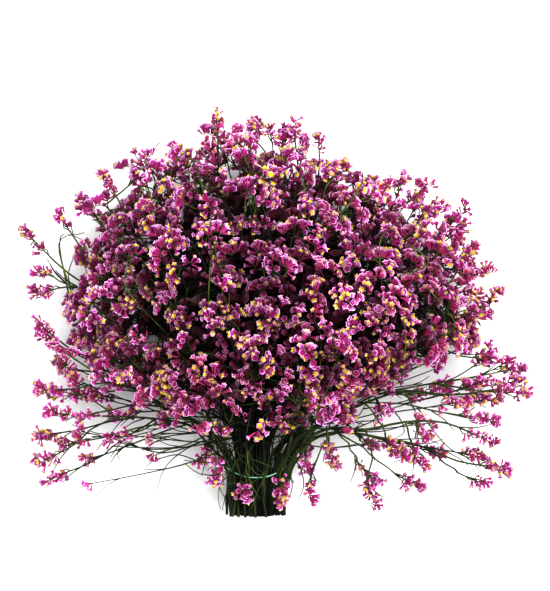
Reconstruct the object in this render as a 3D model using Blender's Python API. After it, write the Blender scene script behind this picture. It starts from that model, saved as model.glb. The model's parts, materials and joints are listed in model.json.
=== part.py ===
# Dried statice: a tied bunch of magenta sprays, lying on its side.
# Metres. The crown points to +Y, the cut ends to -Y, +Z is up and the surface is at Z = 0.
import math

import bmesh
import bpy
import numpy as np
from mathutils import Vector

SEED = 58

# The bundle of stems and the place where they spread
HUB = np.array((-0.0135, -0.088, 0.098))
CUT_Y = -0.1425
TIE_Y = -0.108
TIE_DIP = 0.007
HELD_ABOVE = 0.0045
BUNDLE_RADIUS = 0.0178
CUT_SHRINK = 0.86
STEM_COUNT = 36
STEM_RADIUS = (0.00295, 0.0015)
STEM_SIDES = 3
STEM_PACKING = 1.76
BRANCH_RADIUS = (0.0008, 0.0011)
STEM_FRACTIONS = (0, 0.14, 0.30, 0.46, 0.62, 0.80, 1)
BRANCH_FRACTIONS = (0, 0.34, 0.68, 1)
STEM_HANDLE = 0.30
STEM_FLARE = 0.50
BRANCH_HANDLE = 0.32
FORK_SPREAD = 0.55
ROOT_SPAN = (0.36, 0.80)
TIE_STRING_RADIUS = 0.0007
TIE_POINTS = 28
TIE_SIDES = 4
TOUCH_GAP = 0.0003
OUTLINE_DIRECTIONS = 180
OUTLINE_LEAN = 0.2

# How heads are shared out among the stems, how the bundle packs, and how limbs bend clear
SHARING_POINT = HUB - np.array((0, 0.065, 0))
SHARING_ROUNDS = 120
EVENING_EVERY = 6
EVENING_EXCESS = 3
FAR_HEAD_FAVOUR = 3
PACKING_ROUNDS = 800
PULLED_ROUNDS = 480
PACKING_PULL = 0.998
BEND_ROUNDS = 130
BEND_GAP = 0.0006
BEND_MARGIN = 0.004
BEND_RELIST = 12
BEND_LEAST_WEIGHT = 0.5

# The dome of heads: half sizes of a rounded box-like ball, and the cone under it that stays open
DOME_CENTRE = np.array((0.001, -0.0075, 0.098))
DOME_HALF = np.array((0.162, 0.137, 0.118))
DOME_SQUARENESS = 2.0
DOME_LEAN = np.array((0, 0.135, 0))
DOME_DIRECTIONS = 166
SKIRT_LOW = -0.067
SKIRT_SLOPE = 0.55
SKIRT_FLAT = 0.022
HEAD_RADIUS = (0.0190, 0.0225)
HEAD_SINK = 0.012
FLOOR_SEAT = 0.80
SEATED_WITHIN = 0.02
HEAD_GAP = 0.0008
SPREAD_ROUNDS = 160
SPREAD_REACH = 1.5
SPREAD_STEP = 0.08
SETTLE_ROUNDS = 120
SETTLE_STEP = 0.5

# Small loose heads of the outer sprigs: left arm, left edge, crown, right edge, right arm, by the tie
LOOSE_RADIUS = 0.0088
LOOSE_HEADS_MM = (
    (-160, -71, 92), (-165, -86, 112), (-137, -72, 108), (-150, -94, 84), (-165, -105, 102),
    (-158, -116, 118), (-132, -103, 110), (-116, -73, 84), (-115, -88, 122), (-83, -75, 70),
    (-150, -41, 100), (-164, -54, 118), (-142, -58, 82), (-148, -27, 128), (-165, -10, 104),
    (-170, 15, 90), (-163, 30, 118), (-176, 57, 100), (-150, 68, 112), (-136, 81, 88),
    (-118, 95, 134), (-72, 116, 62), (-40, 133, 134), (-12, 134, 66), (14, 127, 140),
    (131, 71, 104), (139, 45, 120), (150, 31, 90), (156, 14, 112), (142, -22, 84),
    (154, -32, 116), (172, -39, 96), (160, -52, 124), (176, -56, 108), (150, -60, 84),
    (152, -74, 106), (150, -88, 126), (146, -102, 92), (146, -120, 112), (162, -110, 98),
    (117, -99, 88), (106, -87, 118), (106, -108, 106), (101, -123, 90), (90, -98, 128),
    (74, -96, 84), (73, -119, 104), (71, -133, 120), (103, -58, 88), (79, -68, 112),
    (-52, -104, 84), (-43, -119, 104), (-20, -126, 131), (6, -130, 130), (27, -130, 116),
    (24, -111, 90), (43, -106, 108),
)

# One head: a small five-sided core with flared three-sided calyces standing out of it
RADIAL_SHARE = 0.65
NECK_AT = -0.62
DOME_HEAD_SIDES = 5
TUFT_SIDES = 4
LOWER_RING = (-0.24, 0.36)
UPPER_RING = (0.20, 0.34)
CROWN_AT = 0.44
CALYX_LENGTH = (0.44, 0.54)
CALYX_FLARE = 1.55
CALYX_LEAN = 0.10
TUFT_RING = (0.02, 0.42)
TUFT_CROWN = 0.30
TUFT_LENGTH = (0.60, 0.74)


def clear_scene():
    for item in list(bpy.data.objects):
        bpy.data.objects.remove(item, do_unlink=True)


def unit(vectors):
    return vectors / np.linalg.norm(vectors, axis=-1, keepdims=True)


def even_directions(count):
    """Directions spread evenly over a sphere, along a golden spiral round the Y axis."""
    step = np.arange(count) + 0.5
    height = 1 - 2 * step / count
    turn = step * math.pi * (3 - math.sqrt(5))
    width = np.sqrt(1 - height ** 2)
    return np.stack((width * np.cos(turn), height, width * np.sin(turn)), axis=1)


def dome_reach(directions):
    """Distance from the dome's centre to its skin, which leans a little to the left."""
    leaned = directions + directions[..., :1] * DOME_LEAN
    return (np.abs(leaned / DOME_HALF) ** DOME_SQUARENESS).sum(-1) ** (-1 / DOME_SQUARENESS)


def skirt_line(centres):
    """Lowest Y of a dome head: nearer to the crown the further it lies from the bundle."""
    aside = np.maximum(np.abs(centres[:, 0] - HUB[0]) - SKIRT_FLAT, 0)
    return SKIRT_LOW + SKIRT_SLOPE * aside


def place_heads(draw):
    """Centres and radii of all heads, first those of the dome, then the loose ones."""
    directions = even_directions(DOME_DIRECTIONS)
    sizes = draw.uniform(*HEAD_RADIUS, len(directions))
    depth = draw.uniform(0, HEAD_SINK, len(directions))
    centres = DOME_CENTRE + directions * (dome_reach(directions) - sizes - depth)[:, None]
    kept = centres[:, 1] > skirt_line(centres)
    loose = np.array(LOOSE_HEADS_MM) / 1000
    centres = np.vstack((centres[kept], loose))
    radii = np.concatenate((sizes[kept], np.full(len(loose), LOOSE_RADIUS)))
    sink = np.concatenate((depth[kept], np.zeros(len(loose))))
    return settle_heads(centres, radii, sink, kept.sum()), radii, int(kept.sum())


def settle_heads(centres, radii, sink, dome_count):
    """Push the dome's heads apart until none touch, inside the dome's skin and above the floor."""
    free = (np.arange(len(radii)) < dome_count)[:, None]
    touching = radii[:, None] + radii[None, :] + HEAD_GAP
    others = 1 - np.eye(len(radii))
    for round_number in range(SPREAD_ROUNDS + SETTLE_ROUNDS):
        spreading = round_number < SPREAD_ROUNDS
        wanted = touching * (SPREAD_REACH if spreading else 1)
        offset = centres[:, None] - centres[None, :]
        distance = np.linalg.norm(offset, axis=2) + np.eye(len(radii))
        overlap = np.clip(wanted - distance, 0, None) * others
        push = (offset * (overlap / distance)[..., None]).sum(1)
        centres = centres + (SPREAD_STEP if spreading else SETTLE_STEP) * push * free
        local = centres - DOME_CENTRE
        length = np.linalg.norm(local, axis=1)
        limit = dome_reach(local / length[:, None]) - radii
        limit = np.where(spreading, limit - sink, limit)
        nearest = np.where(spreading, limit / length, np.minimum(1, limit / length))
        shrink = np.where(free[:, 0], nearest, 1)
        centres = DOME_CENTRE + local * shrink[:, None]
        centres[:, 2] = np.maximum(centres[:, 2], FLOOR_SEAT * radii)
        raised = np.maximum(centres[:, 1], skirt_line(centres))
        centres[:, 1] = np.where(free[:, 0], raised, centres[:, 1])
    return centres


def share_out(centres):
    """Number of the spray that carries each head: heads in like directions share a stem."""
    directions = unit(centres - SHARING_POINT)
    middles = directions[np.linspace(0, len(directions) - 1, STEM_COUNT).astype(int)]
    for round_number in range(SHARING_ROUNDS):
        owner = (directions @ middles.T).argmax(1)
        counts = np.bincount(owner, minlength=STEM_COUNT)
        middles = unit(np.array([directions[owner == k].sum(0) + 1e-6 * middles[k]
                                 for k in range(STEM_COUNT)]))
        evening = round_number % EVENING_EVERY == EVENING_EVERY - 1
        if evening and counts.max() > counts.min() + EVENING_EXCESS:
            full = np.flatnonzero(owner == counts.argmax())
            outlier = full[(directions[full] @ middles[counts.argmax()]).argmin()]
            middles[counts.argmin()] = directions[outlier]
    owner = (directions @ middles.T).argmax(1)
    return owner, middles


def bundle_slots(middles):
    """Places of the stems in the tied bundle: steep stems inside, spreading stems outside.

    All cross-sections are triangles turned alike, so they clear each other at less than two radii.
    """
    around = np.arctan2(middles[:, 2], middles[:, 0])
    rank = np.argsort(np.argsort(-middles[:, 1]))
    ring = BUNDLE_RADIUS * np.sqrt((rank + 0.4) / len(rank))
    slots = np.stack((ring * np.cos(around), ring * np.sin(around)), axis=1)
    spacing = STEM_PACKING * STEM_RADIUS[0] + TOUCH_GAP
    others = 1 - np.eye(len(slots))
    for round_number in range(PACKING_ROUNDS):
        offset = slots[:, None] - slots[None, :]
        distance = np.linalg.norm(offset, axis=2) + np.eye(len(slots))
        overlap = np.clip(spacing - distance, 0, None) * others
        slots = slots + 0.5 * (offset * (overlap / distance)[..., None]).sum(1)
        if round_number < PULLED_ROUNDS:
            slots *= PACKING_PULL
    return slots


def bezier(a, b, c, d, fractions):
    t = np.asarray(fractions)[:, None]
    return (1 - t) ** 3 * a + 3 * (1 - t) ** 2 * t * b + 3 * (1 - t) * t ** 2 * c + t ** 3 * d


def stem_path(slot, foot, axis):
    """From the cut end through the tie and on in one bend to the foot of the top head."""
    cut = np.array((HUB[0] + slot[0] * CUT_SHRINK, CUT_Y, HUB[2] + slot[1] * CUT_SHRINK))
    held = np.array((HUB[0] + slot[0], TIE_Y + TIE_DIP + HELD_ABOVE, HUB[2] + slot[1]))
    span = np.linalg.norm(foot - held)
    straight_up = np.array((0, 1, 0))
    leaving = unit((1 - STEM_FLARE) * straight_up + STEM_FLARE * unit(foot - held))
    rise = held + STEM_HANDLE * span * leaving
    curve = bezier(held, rise, foot - STEM_HANDLE * span * axis, foot, STEM_FRACTIONS)
    return np.vstack((cut, curve))


def point_on(path, place):
    """Point at a place given as node number and fraction."""
    index = int(place)
    return path[index] + (place - index) * (path[index + 1] - path[index])


def branch_path(stem, root, foot, axis):
    """From a place on the stem, along it at first, then out to the foot of a side head."""
    start = point_on(stem, root)
    along = unit(stem[int(root) + 1] - stem[int(root)])
    leaving = unit((1 - FORK_SPREAD) * along + FORK_SPREAD * unit(foot - start))
    reach = BRANCH_HANDLE * np.linalg.norm(foot - start)
    return bezier(start, start + reach * leaving, foot - reach * axis, foot, BRANCH_FRACTIONS)


def roots_on_stem(stem, heads):
    """Places on the stem, as node number and fraction, where branches leave, nearest heads lowest."""
    order = np.argsort(np.argsort(np.linalg.norm(heads - HUB, axis=1)))
    low, high = ROOT_SPAN
    share = (order + 0.5) / len(heads)
    return (low + (high - low) * share) * (len(stem) - 1)


def grow_limbs(centres, radii):
    """Every stem and branch as a dict with its spray, path, tube radii, head and root."""
    owner, middles = share_out(centres)
    slots = bundle_slots(middles)
    radial = unit(centres - HUB)
    limbs = []
    for spray in range(STEM_COUNT):
        heads = np.flatnonzero(owner == spray)
        away = np.linalg.norm(centres[heads] - HUB, axis=1)
        top = heads[(radial[heads] @ middles[spray] + FAR_HEAD_FAVOUR * away).argmax()]
        foot = centres[top] + NECK_AT * radii[top] * radial[top]
        stem = {"spray": spray, "path": stem_path(slots[spray], foot, radial[top]), "head": top,
                "parent": None, "root": 0.0, "axis": radial[top], "radius": STEM_RADIUS}
        limbs.append(stem)
        side_heads = heads[heads != top]
        for head, root in zip(side_heads, roots_on_stem(stem["path"], centres[side_heads])):
            leaning = unit(centres[head] - point_on(stem["path"], root))
            axis = unit(RADIAL_SHARE * radial[head] + (1 - RADIAL_SHARE) * leaning)
            foot = centres[head] + NECK_AT * radii[head] * axis
            limbs.append({"spray": spray, "path": branch_path(stem["path"], root, foot, axis),
                          "head": head, "parent": stem, "root": root, "axis": axis,
                          "radius": BRANCH_RADIUS})
    return limbs, slots


def outline_reach(slots, turn):
    """How far the outline of the packed stems reaches at each angle round the bundle's middle."""
    facing = np.arange(OUTLINE_DIRECTIONS) * 2 * math.pi / OUTLINE_DIRECTIONS
    support = (slots @ np.stack((np.cos(facing), np.sin(facing)))).max(0) + STEM_RADIUS[0]
    lean = np.cos(turn[:, None] - facing[None, :])
    return np.where(lean > OUTLINE_LEAN, support / np.maximum(lean, OUTLINE_LEAN), 1).min(1)


def tie_ring(count, slots):
    """Middle line of the string round the bundle, which dips towards the cut ends on top."""
    turn = np.arange(count) * 2 * math.pi / count
    height = TIE_Y - TIE_DIP * np.sin(turn)
    held_height = TIE_Y + TIE_DIP + HELD_ABOVE - CUT_Y
    narrowing = CUT_SHRINK + (1 - CUT_SHRINK) * (height - CUT_Y) / held_height
    radius = narrowing * outline_reach(slots, turn) + TIE_STRING_RADIUS + TOUCH_GAP
    return np.stack((HUB[0] + radius * np.cos(turn), height, HUB[2] + radius * np.sin(turn)), axis=1)


def limb_radii(limb):
    first, last = limb["radius"]
    sizes = np.linspace(first, last, len(limb["path"]))
    if limb["parent"] is None:
        sizes[0] *= CUT_SHRINK
    return sizes


def nearest_shares(start, end, other_start, other_end):
    """How far along each of two straight pieces their nearest points lie, from 0 to 1."""
    along = end - start
    other_along = other_end - other_start
    between = start - other_start
    size = (along ** 2).sum(1)
    other_size = (other_along ** 2).sum(1) + 1e-12
    mixed = (along * other_along).sum(1)
    lead = (along * between).sum(1)
    other_lead = (other_along * between).sum(1)
    spread = np.maximum(size * other_size - mixed ** 2, 1e-12 * size * other_size + 1e-24)
    share = np.clip((mixed * other_lead - lead * other_size) / spread, 0, 1)
    other_share = np.clip((mixed * share + other_lead) / other_size, 0, 1)
    return np.clip((mixed * other_share - lead) / size, 0, 1), other_share


def too_near(pieces, others, here, there, margin):
    """For pairs of tapered rods: the push that parts them, where they are nearer than the margin."""
    share, other_share = nearest_shares(pieces["a"][here], pieces["b"][here],
                                        others["a"][there], others["b"][there])
    point = pieces["a"][here] + share[:, None] * (pieces["b"] - pieces["a"])[here]
    other_point = others["a"][there] + other_share[:, None] * (others["b"] - others["a"])[there]
    need = (pieces["ra"][here] * (1 - share) + pieces["rb"][here] * share
            + others["ra"][there] * (1 - other_share) + others["rb"][there] * other_share + margin)
    offset = point - other_point
    distance = np.linalg.norm(offset, axis=1) + 1e-9
    near = distance < need
    push = offset[near] * ((need - distance) / distance)[near, None]
    return here[near], there[near], share[near], push


def rods(starts, ends, start_radii, end_radii):
    return {"a": starts, "b": ends, "ra": start_radii, "rb": end_radii}


def bend_clear(limbs, centres, radii, ring):
    """Bend stems and branches clear of heads, of the string, and of other sprays' limbs."""
    sizes = np.array([len(limb["path"]) for limb in limbs])
    begins = np.concatenate(([0], np.cumsum(sizes)[:-1]))
    nodes = np.vstack([limb["path"] for limb in limbs])
    thick = np.concatenate([limb_radii(limb) for limb in limbs])
    spray = np.repeat([limb["spray"] for limb in limbs], sizes)
    number = np.repeat(np.arange(len(limbs)), sizes)
    movable = np.ones((len(nodes), 1))
    movable[begins + sizes - 1] = 0
    low = np.setdiff1d(np.arange(len(nodes)), begins + sizes - 1)
    begin_of = {}
    for begin, limb in zip(begins, limbs):
        movable[begin:begin + (2 if limb["parent"] is None else 1)] = 0
        begin_of[id(limb)] = begin
    carrier = np.zeros(len(centres), int)
    for index, limb in enumerate(limbs):
        carrier[limb["head"]] = index
    string = np.full(len(ring), TIE_STRING_RADIUS)
    ring_rods = rods(ring, np.roll(ring, -1, axis=0), string, string)
    head_rods = rods(centres, centres, radii, radii)
    own_spray = spray[low][:, None] == spray[low][None, :]
    pair_lists = None
    for round_number in range(BEND_ROUNDS):
        limb_rods = rods(nodes[low], nodes[low + 1], thick[low], thick[low + 1])
        if round_number % BEND_RELIST == 0:
            possible = (np.nonzero(~own_spray),
                        np.nonzero(number[low][:, None] != carrier[None, :]),
                        np.nonzero(np.ones((len(low), len(ring)), bool)))
            pair_lists = [too_near(limb_rods, others, *pairs, BEND_GAP + BEND_MARGIN)[:2]
                          for pairs, others in zip(possible, (limb_rods, head_rods, ring_rods))]
        move = np.zeros_like(nodes)
        weight = np.zeros((len(nodes), 1))
        kinds = zip(pair_lists, (limb_rods, head_rods, ring_rods), (0.5, 1.0, 1.0))
        for (here, there), others, part in kinds:
            index, _, share, push = too_near(limb_rods, others, here, there, BEND_GAP)
            node = low[index]
            np.add.at(move, node, push * part * (1 - share)[:, None])
            np.add.at(move, node + 1, push * part * share[:, None])
            np.add.at(weight, node, (1 - share)[:, None] ** 2)
            np.add.at(weight, node + 1, share[:, None] ** 2)
        nodes = nodes + movable * move / np.maximum(weight, BEND_LEAST_WEIGHT)
        nodes[:, 2] = np.maximum(nodes[:, 2], thick + BEND_GAP)
        for begin, limb in zip(begins, limbs):
            if limb["parent"] is not None:
                below = begin_of[id(limb["parent"])] + int(limb["root"])
                part = limb["root"] % 1
                nodes[begin] = nodes[below] * (1 - part) + nodes[below + 1] * part
    for begin, size, limb in zip(begins, sizes, limbs):
        limb["path"] = nodes[begin:begin + size]


def plain_material(name, colour, roughness):
    material = bpy.data.materials.new(name)
    material.use_nodes = True
    shader = material.node_tree.nodes["Principled BSDF"]
    shader.inputs["Base Color"].default_value = (*colour, 1)
    shader.inputs["Roughness"].default_value = roughness
    material.diffuse_color = (*colour, 1)
    return material


def stitch(bm, ring, other, material):
    """Triangles between two closed rings of points, which may differ in count."""
    a, b, faces = 0, 0, []
    while a < len(ring) or b < len(other):
        if b == len(other) or (a < len(ring) and (a + 1) / len(ring) <= (b + 1) / len(other)):
            corners = (ring[a % len(ring)], ring[(a + 1) % len(ring)], other[b % len(other)])
            a += 1
        else:
            corners = (ring[a % len(ring)], other[(b + 1) % len(other)], other[b % len(other)])
            b += 1
        if len(set(corners)) == 3:
            face = bm.faces.new(corners)
            face.material_index = material
            faces.append(face)
    return faces


def ring_of(bm, centre, side, other_side, radius, count, turn=0.0):
    points = []
    radius = float(radius)
    for k in range(count):
        angle = turn + 2 * math.pi * k / count
        offset = radius * (math.cos(angle) * side + math.sin(angle) * other_side)
        points.append(bm.verts.new(centre + offset))
    return points


def carried_frames(path):
    """A side direction for every point of a path, carried along so that the tube doesn't twist."""
    tangents = []
    for k in range(len(path)):
        before = path[max(k - 1, 0)]
        after = path[min(k + 1, len(path) - 1)]
        tangents.append((after - before).normalized())
    side = tangents[0].orthogonal().normalized()
    frames = []
    for tangent in tangents:
        side = (side - tangent * side.dot(tangent)).normalized()
        frames.append((side, tangent.cross(side)))
    return frames


def open_calyces(bm, faces, lengths, draw, size):
    """Pull each face out into a flared three-sided calyx."""
    pulled = bmesh.ops.extrude_discrete_faces(bm, faces=faces)["faces"]
    for face in pulled:
        face.normal_update()
        middle = face.calc_center_median()
        lean = Vector(draw.uniform(-1, 1, 3)) * CALYX_LEAN
        away = (face.normal + lean).normalized() * size * draw.uniform(*lengths)
        for vert in face.verts:
            vert.co = middle + away + (vert.co - middle) * CALYX_FLARE


def limb_mesh(limb, centre, size, dome_head, draw):
    """One closed mesh: a three-sided tube that opens into its head of calyces."""
    bm = bmesh.new()
    path = [Vector(point) for point in limb["path"]]
    frames = carried_frames(path)
    previous = None
    for point, (side, other), radius in zip(path, frames, limb_radii(limb)):
        ring = ring_of(bm, point, side, other, radius, STEM_SIDES)
        if previous is None:
            bm.faces.new(reversed(ring)).material_index = 0
        else:
            stitch(bm, previous, ring, 0)
        previous = ring
    tube_count = len(bm.verts)
    side, other = frames[-1]
    axis = Vector(limb["axis"])
    side = (side - axis * side.dot(axis)).normalized()
    other = axis.cross(side)
    centre = Vector(centre)
    size = float(size)
    rings = (LOWER_RING, UPPER_RING) if dome_head else (TUFT_RING,)
    sides = DOME_HEAD_SIDES if dome_head else TUFT_SIDES
    faces = []
    for number, (height, width) in enumerate(rings):
        ring = ring_of(bm, centre + axis * height * size, side, other, width * size, sides,
                       turn=number * math.pi / sides)
        band = stitch(bm, previous, ring, 1)
        if number:
            faces += [face for face in band if len(set(face.verts) & set(ring)) == 1]
        previous = ring
    crown = CROWN_AT if dome_head else TUFT_CROWN
    top = [bm.verts.new(centre + axis * crown * size)]
    faces += stitch(bm, previous, top, 1)
    bm.normal_update()
    open_calyces(bm, faces, CALYX_LENGTH if dome_head else TUFT_LENGTH, draw, size)
    bm.verts.ensure_lookup_table()
    head_verts = bm.verts[tube_count:]
    lowest = min(vert.co.z for vert in head_verts)
    if lowest < 0 or (dome_head and centre.z < size * (FLOOR_SEAT + SEATED_WITHIN)):
        for vert in head_verts:
            vert.co.z -= lowest
    bmesh.ops.recalc_face_normals(bm, faces=bm.faces)
    mesh = bpy.data.meshes.new("limb")
    bm.to_mesh(mesh)
    bm.free()
    return mesh


def place_object(name, mesh, materials, collection):
    item = bpy.data.objects.new(name, mesh)
    for material in materials:
        mesh.materials.append(material)
    collection.objects.link(item)
    return item


def fused_spray(name, meshes, materials):
    """A stem with all its branches joined by one union, then applied."""
    scene = bpy.context.scene.collection
    spray = place_object(name, meshes[0], materials, scene)
    if len(meshes) == 1:
        return spray
    branches = bpy.data.collections.new(name + "_branches")
    scene.children.link(branches)
    for mesh in meshes[1:]:
        place_object(name + "_branch", mesh, materials, branches)
    union = spray.modifiers.new("join", "BOOLEAN")
    union.operation = "UNION"
    union.operand_type = "COLLECTION"
    union.collection = branches
    union.solver = "MANIFOLD"
    evaluated = spray.evaluated_get(bpy.context.evaluated_depsgraph_get())
    joined = bpy.data.meshes.new_from_object(evaluated)
    spray.modifiers.clear()
    spray.data = joined
    for item in list(branches.objects):
        bpy.data.objects.remove(item, do_unlink=True)
    bpy.data.collections.remove(branches)
    return spray


def make_tie(ring_points, material):
    """The string round the bundle, as one closed ring."""
    bm = bmesh.new()
    points = [Vector(point) for point in ring_points]
    axis = Vector((0, 1, 0))
    rings = []
    for k, point in enumerate(points):
        tangent = (points[(k + 1) % len(points)] - points[k - 1]).normalized()
        outward = (axis.cross(tangent)).normalized()
        rings.append(ring_of(bm, point, outward, tangent.cross(outward), TIE_STRING_RADIUS, TIE_SIDES))
    for k, ring in enumerate(rings):
        stitch(bm, ring, rings[(k + 1) % len(rings)], 0)
    bmesh.ops.recalc_face_normals(bm, faces=bm.faces)
    mesh = bpy.data.meshes.new("tie")
    bm.to_mesh(mesh)
    bm.free()
    return place_object("tie", mesh, [material], bpy.context.scene.collection)


def main():
    clear_scene()
    draw = np.random.default_rng(SEED)
    stem_green = plain_material("stem_green", (0.05, 0.11, 0.03), 0.7)
    calyx_magenta = plain_material("calyx_magenta", (0.52, 0.06, 0.36), 0.6)
    string_green = plain_material("string_green", (0.30, 0.50, 0.38), 0.5)
    centres, radii, dome_count = place_heads(draw)
    limbs, slots = grow_limbs(centres, radii)
    ring = tie_ring(TIE_POINTS, slots)
    bend_clear(limbs, centres, radii, ring)
    for spray in range(STEM_COUNT):
        own = [limb for limb in limbs if limb["spray"] == spray]
        meshes = [limb_mesh(limb, centres[limb["head"]], radii[limb["head"]],
                            limb["head"] < dome_count, draw) for limb in own]
        fused_spray("spray_%02d" % (spray + 1), meshes, [stem_green, calyx_magenta])
    make_tie(ring, string_green)


main()
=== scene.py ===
import json
import math
from collections import namedtuple

import bmesh
import bpy
import numpy as np
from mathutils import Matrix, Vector

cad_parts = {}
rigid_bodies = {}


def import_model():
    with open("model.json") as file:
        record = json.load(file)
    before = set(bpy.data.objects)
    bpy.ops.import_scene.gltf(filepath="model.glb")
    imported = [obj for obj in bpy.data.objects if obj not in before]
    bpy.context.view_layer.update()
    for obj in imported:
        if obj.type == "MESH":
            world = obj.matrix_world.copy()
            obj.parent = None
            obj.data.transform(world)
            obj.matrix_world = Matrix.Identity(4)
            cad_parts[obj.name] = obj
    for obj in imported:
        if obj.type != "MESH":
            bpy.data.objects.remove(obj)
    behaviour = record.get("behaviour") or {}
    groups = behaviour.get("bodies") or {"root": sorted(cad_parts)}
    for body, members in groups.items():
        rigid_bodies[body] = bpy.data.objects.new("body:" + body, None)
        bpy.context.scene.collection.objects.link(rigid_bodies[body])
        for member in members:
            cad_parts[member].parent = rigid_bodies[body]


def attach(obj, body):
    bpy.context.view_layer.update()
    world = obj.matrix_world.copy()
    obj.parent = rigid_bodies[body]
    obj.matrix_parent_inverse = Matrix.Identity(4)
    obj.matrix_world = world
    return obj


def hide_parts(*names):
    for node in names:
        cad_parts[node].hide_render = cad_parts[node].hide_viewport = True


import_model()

# Dried statice: a tied bunch of magenta sprays, lying on its side. Metres; the crown points to +Y.
# First come the layout values and rules of the bunch, the same as in the part's own source.
SEED = 58
HUB = np.array((-0.0135, -0.088, 0.098))
CUT_Y = -0.1425
TIE_Y = -0.108
TIE_DIP = 0.007
HELD_ABOVE = 0.0045
BUNDLE_RADIUS = 0.0178
CUT_SHRINK = 0.86
STEM_COUNT = 36
STEM_RADIUS = (0.00295, 0.0015)
STEM_PACKING = 1.76
BRANCH_RADIUS = (0.0008, 0.0011)
STEM_FRACTIONS = (0, 0.14, 0.30, 0.46, 0.62, 0.80, 1)
BRANCH_FRACTIONS = (0, 0.34, 0.68, 1)
STEM_HANDLE = 0.30
STEM_FLARE = 0.50
BRANCH_HANDLE = 0.32
FORK_SPREAD = 0.55
ROOT_SPAN = (0.36, 0.80)
TIE_STRING_RADIUS = 0.0007
TIE_POINTS = 28
TOUCH_GAP = 0.0003
OUTLINE_DIRECTIONS = 180
OUTLINE_LEAN = 0.2
SHARING_POINT = HUB - np.array((0, 0.065, 0))
SHARING_ROUNDS = 120
EVENING_EVERY = 6
EVENING_EXCESS = 3
FAR_HEAD_FAVOUR = 3
RANK_SHIFT = 0.4
PACKING_ROUNDS = 800
PACKING_STEP = 0.5
PULLED_ROUNDS = 480
PACKING_PULL = 0.998
BEND_ROUNDS = 130
BEND_GAP = 0.0006
BEND_MARGIN = 0.004
BEND_RELIST = 12
BEND_LEAST_WEIGHT = 0.5
BEND_PARTS = (0.5, 1.0, 1.0)
DOME_CENTRE = np.array((0.001, -0.0075, 0.098))
DOME_HALF = np.array((0.162, 0.137, 0.118))
DOME_SQUARENESS = 2.0
DOME_LEAN = np.array((0, 0.135, 0))
DOME_DIRECTIONS = 166
SKIRT_LOW = -0.067
SKIRT_SLOPE = 0.55
SKIRT_FLAT = 0.022
HEAD_RADIUS = (0.0190, 0.0225)
HEAD_SINK = 0.012
FLOOR_SEAT = 0.80
HEAD_GAP = 0.0008
SPREAD_ROUNDS = 160
SPREAD_REACH = 1.5
SPREAD_STEP = 0.08
SETTLE_ROUNDS = 120
SETTLE_STEP = 0.5
RADIAL_SHARE = 0.65
NECK_AT = -0.62
LOOSE_RADIUS = 0.0088
LOOSE_HEADS_MM = (
    (-160, -71, 92), (-165, -86, 112), (-137, -72, 108), (-150, -94, 84), (-165, -105, 102),
    (-158, -116, 118), (-132, -103, 110), (-116, -73, 84), (-115, -88, 122), (-83, -75, 70),
    (-150, -41, 100), (-164, -54, 118), (-142, -58, 82), (-148, -27, 128), (-165, -10, 104),
    (-170, 15, 90), (-163, 30, 118), (-176, 57, 100), (-150, 68, 112), (-136, 81, 88),
    (-118, 95, 134), (-72, 116, 62), (-40, 133, 134), (-12, 134, 66), (14, 127, 140),
    (131, 71, 104), (139, 45, 120), (150, 31, 90), (156, 14, 112), (142, -22, 84),
    (154, -32, 116), (172, -39, 96), (160, -52, 124), (176, -56, 108), (150, -60, 84),
    (152, -74, 106), (150, -88, 126), (146, -102, 92), (146, -120, 112), (162, -110, 98),
    (117, -99, 88), (106, -87, 118), (106, -108, 106), (101, -123, 90), (90, -98, 128),
    (74, -96, 84), (73, -119, 104), (71, -133, 120), (103, -58, 88), (79, -68, 112),
    (-52, -104, 84), (-43, -119, 104), (-20, -126, 131), (6, -130, 130), (27, -130, 116),
    (24, -111, 90), (43, -106, 108),
)

# The dome's flowers: number of places in each layer, their depths under its cover, their spacing
FLOWER_SEED = 7
OUTER, UNDER, LOOSE, DEEP = range(4)
CLUSTERS = (426, (-0.004, 0.024), 0.0245)
UNDER_FANS = (500, (0.016, 0.036), 0.0164)
DEEP_COMBS = (1150, (0.039, 0.086), 0.0105)
PLACE_WOBBLE = 0.03
PLACE_ROUNDS = 7
PLACE_STEP = 0.3
LEAST_REACH = 0.01
COVER_REACH = 1.36
COVER_SWELL = 1.04
VALLEY_RISE = 0.35
FUNNEL_HEIGHTS = (-0.090, -0.070, -0.046)
FUNNEL_FLOWERS = (0.10, 0.34, 0.85)
FUNNEL_HALF_WIDTH = 0.050
FUNNEL_EDGE = 0.022
# Painted shade: the shade value darkens a floret's colour the deeper it lies under the cover, down to near
# black deep inside. It also wobbles at random, and a few clusters are paler, which is their own tone.
SHADE_DEPTHS = (-0.004, 0.009, 0.024, 0.044)
SHADES = (1.0, 0.82, 0.42, 0.08)
SHADE_WOBBLE = (0.78, 1.10)
PALE_SHARE = 0.06
PALE_SHADE = 1.35

# Fans: each is a short curved comb with two rows of florets on its outer side.
# A range of counts, here and below, leaves out its last one.
Fan = namedtuple("Fan", "head place facing layer foot shade")
CLUSTER_FANS = (2, 3, 3)
CLUSTER_PITCH = 0.0088
PITCH_WOBBLE = (0.85, 1.15)
CLUSTER_SCATTER = 0.0022
CLUSTER_FALL = 14
CLUSTER_OPENING = 0.42
FAN_SHARES = (0.55, 0.10, 0.35)
FAN_WOBBLE = 0.30
CLUSTER_WOBBLE = 0.6 * FAN_WOBBLE
UNDER_LEAN = (0.4, FAN_WOBBLE)
DEEP_LEAN = (0.0, 0.5)
DEEP_SIZE = (0.85, 1.2)
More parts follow.
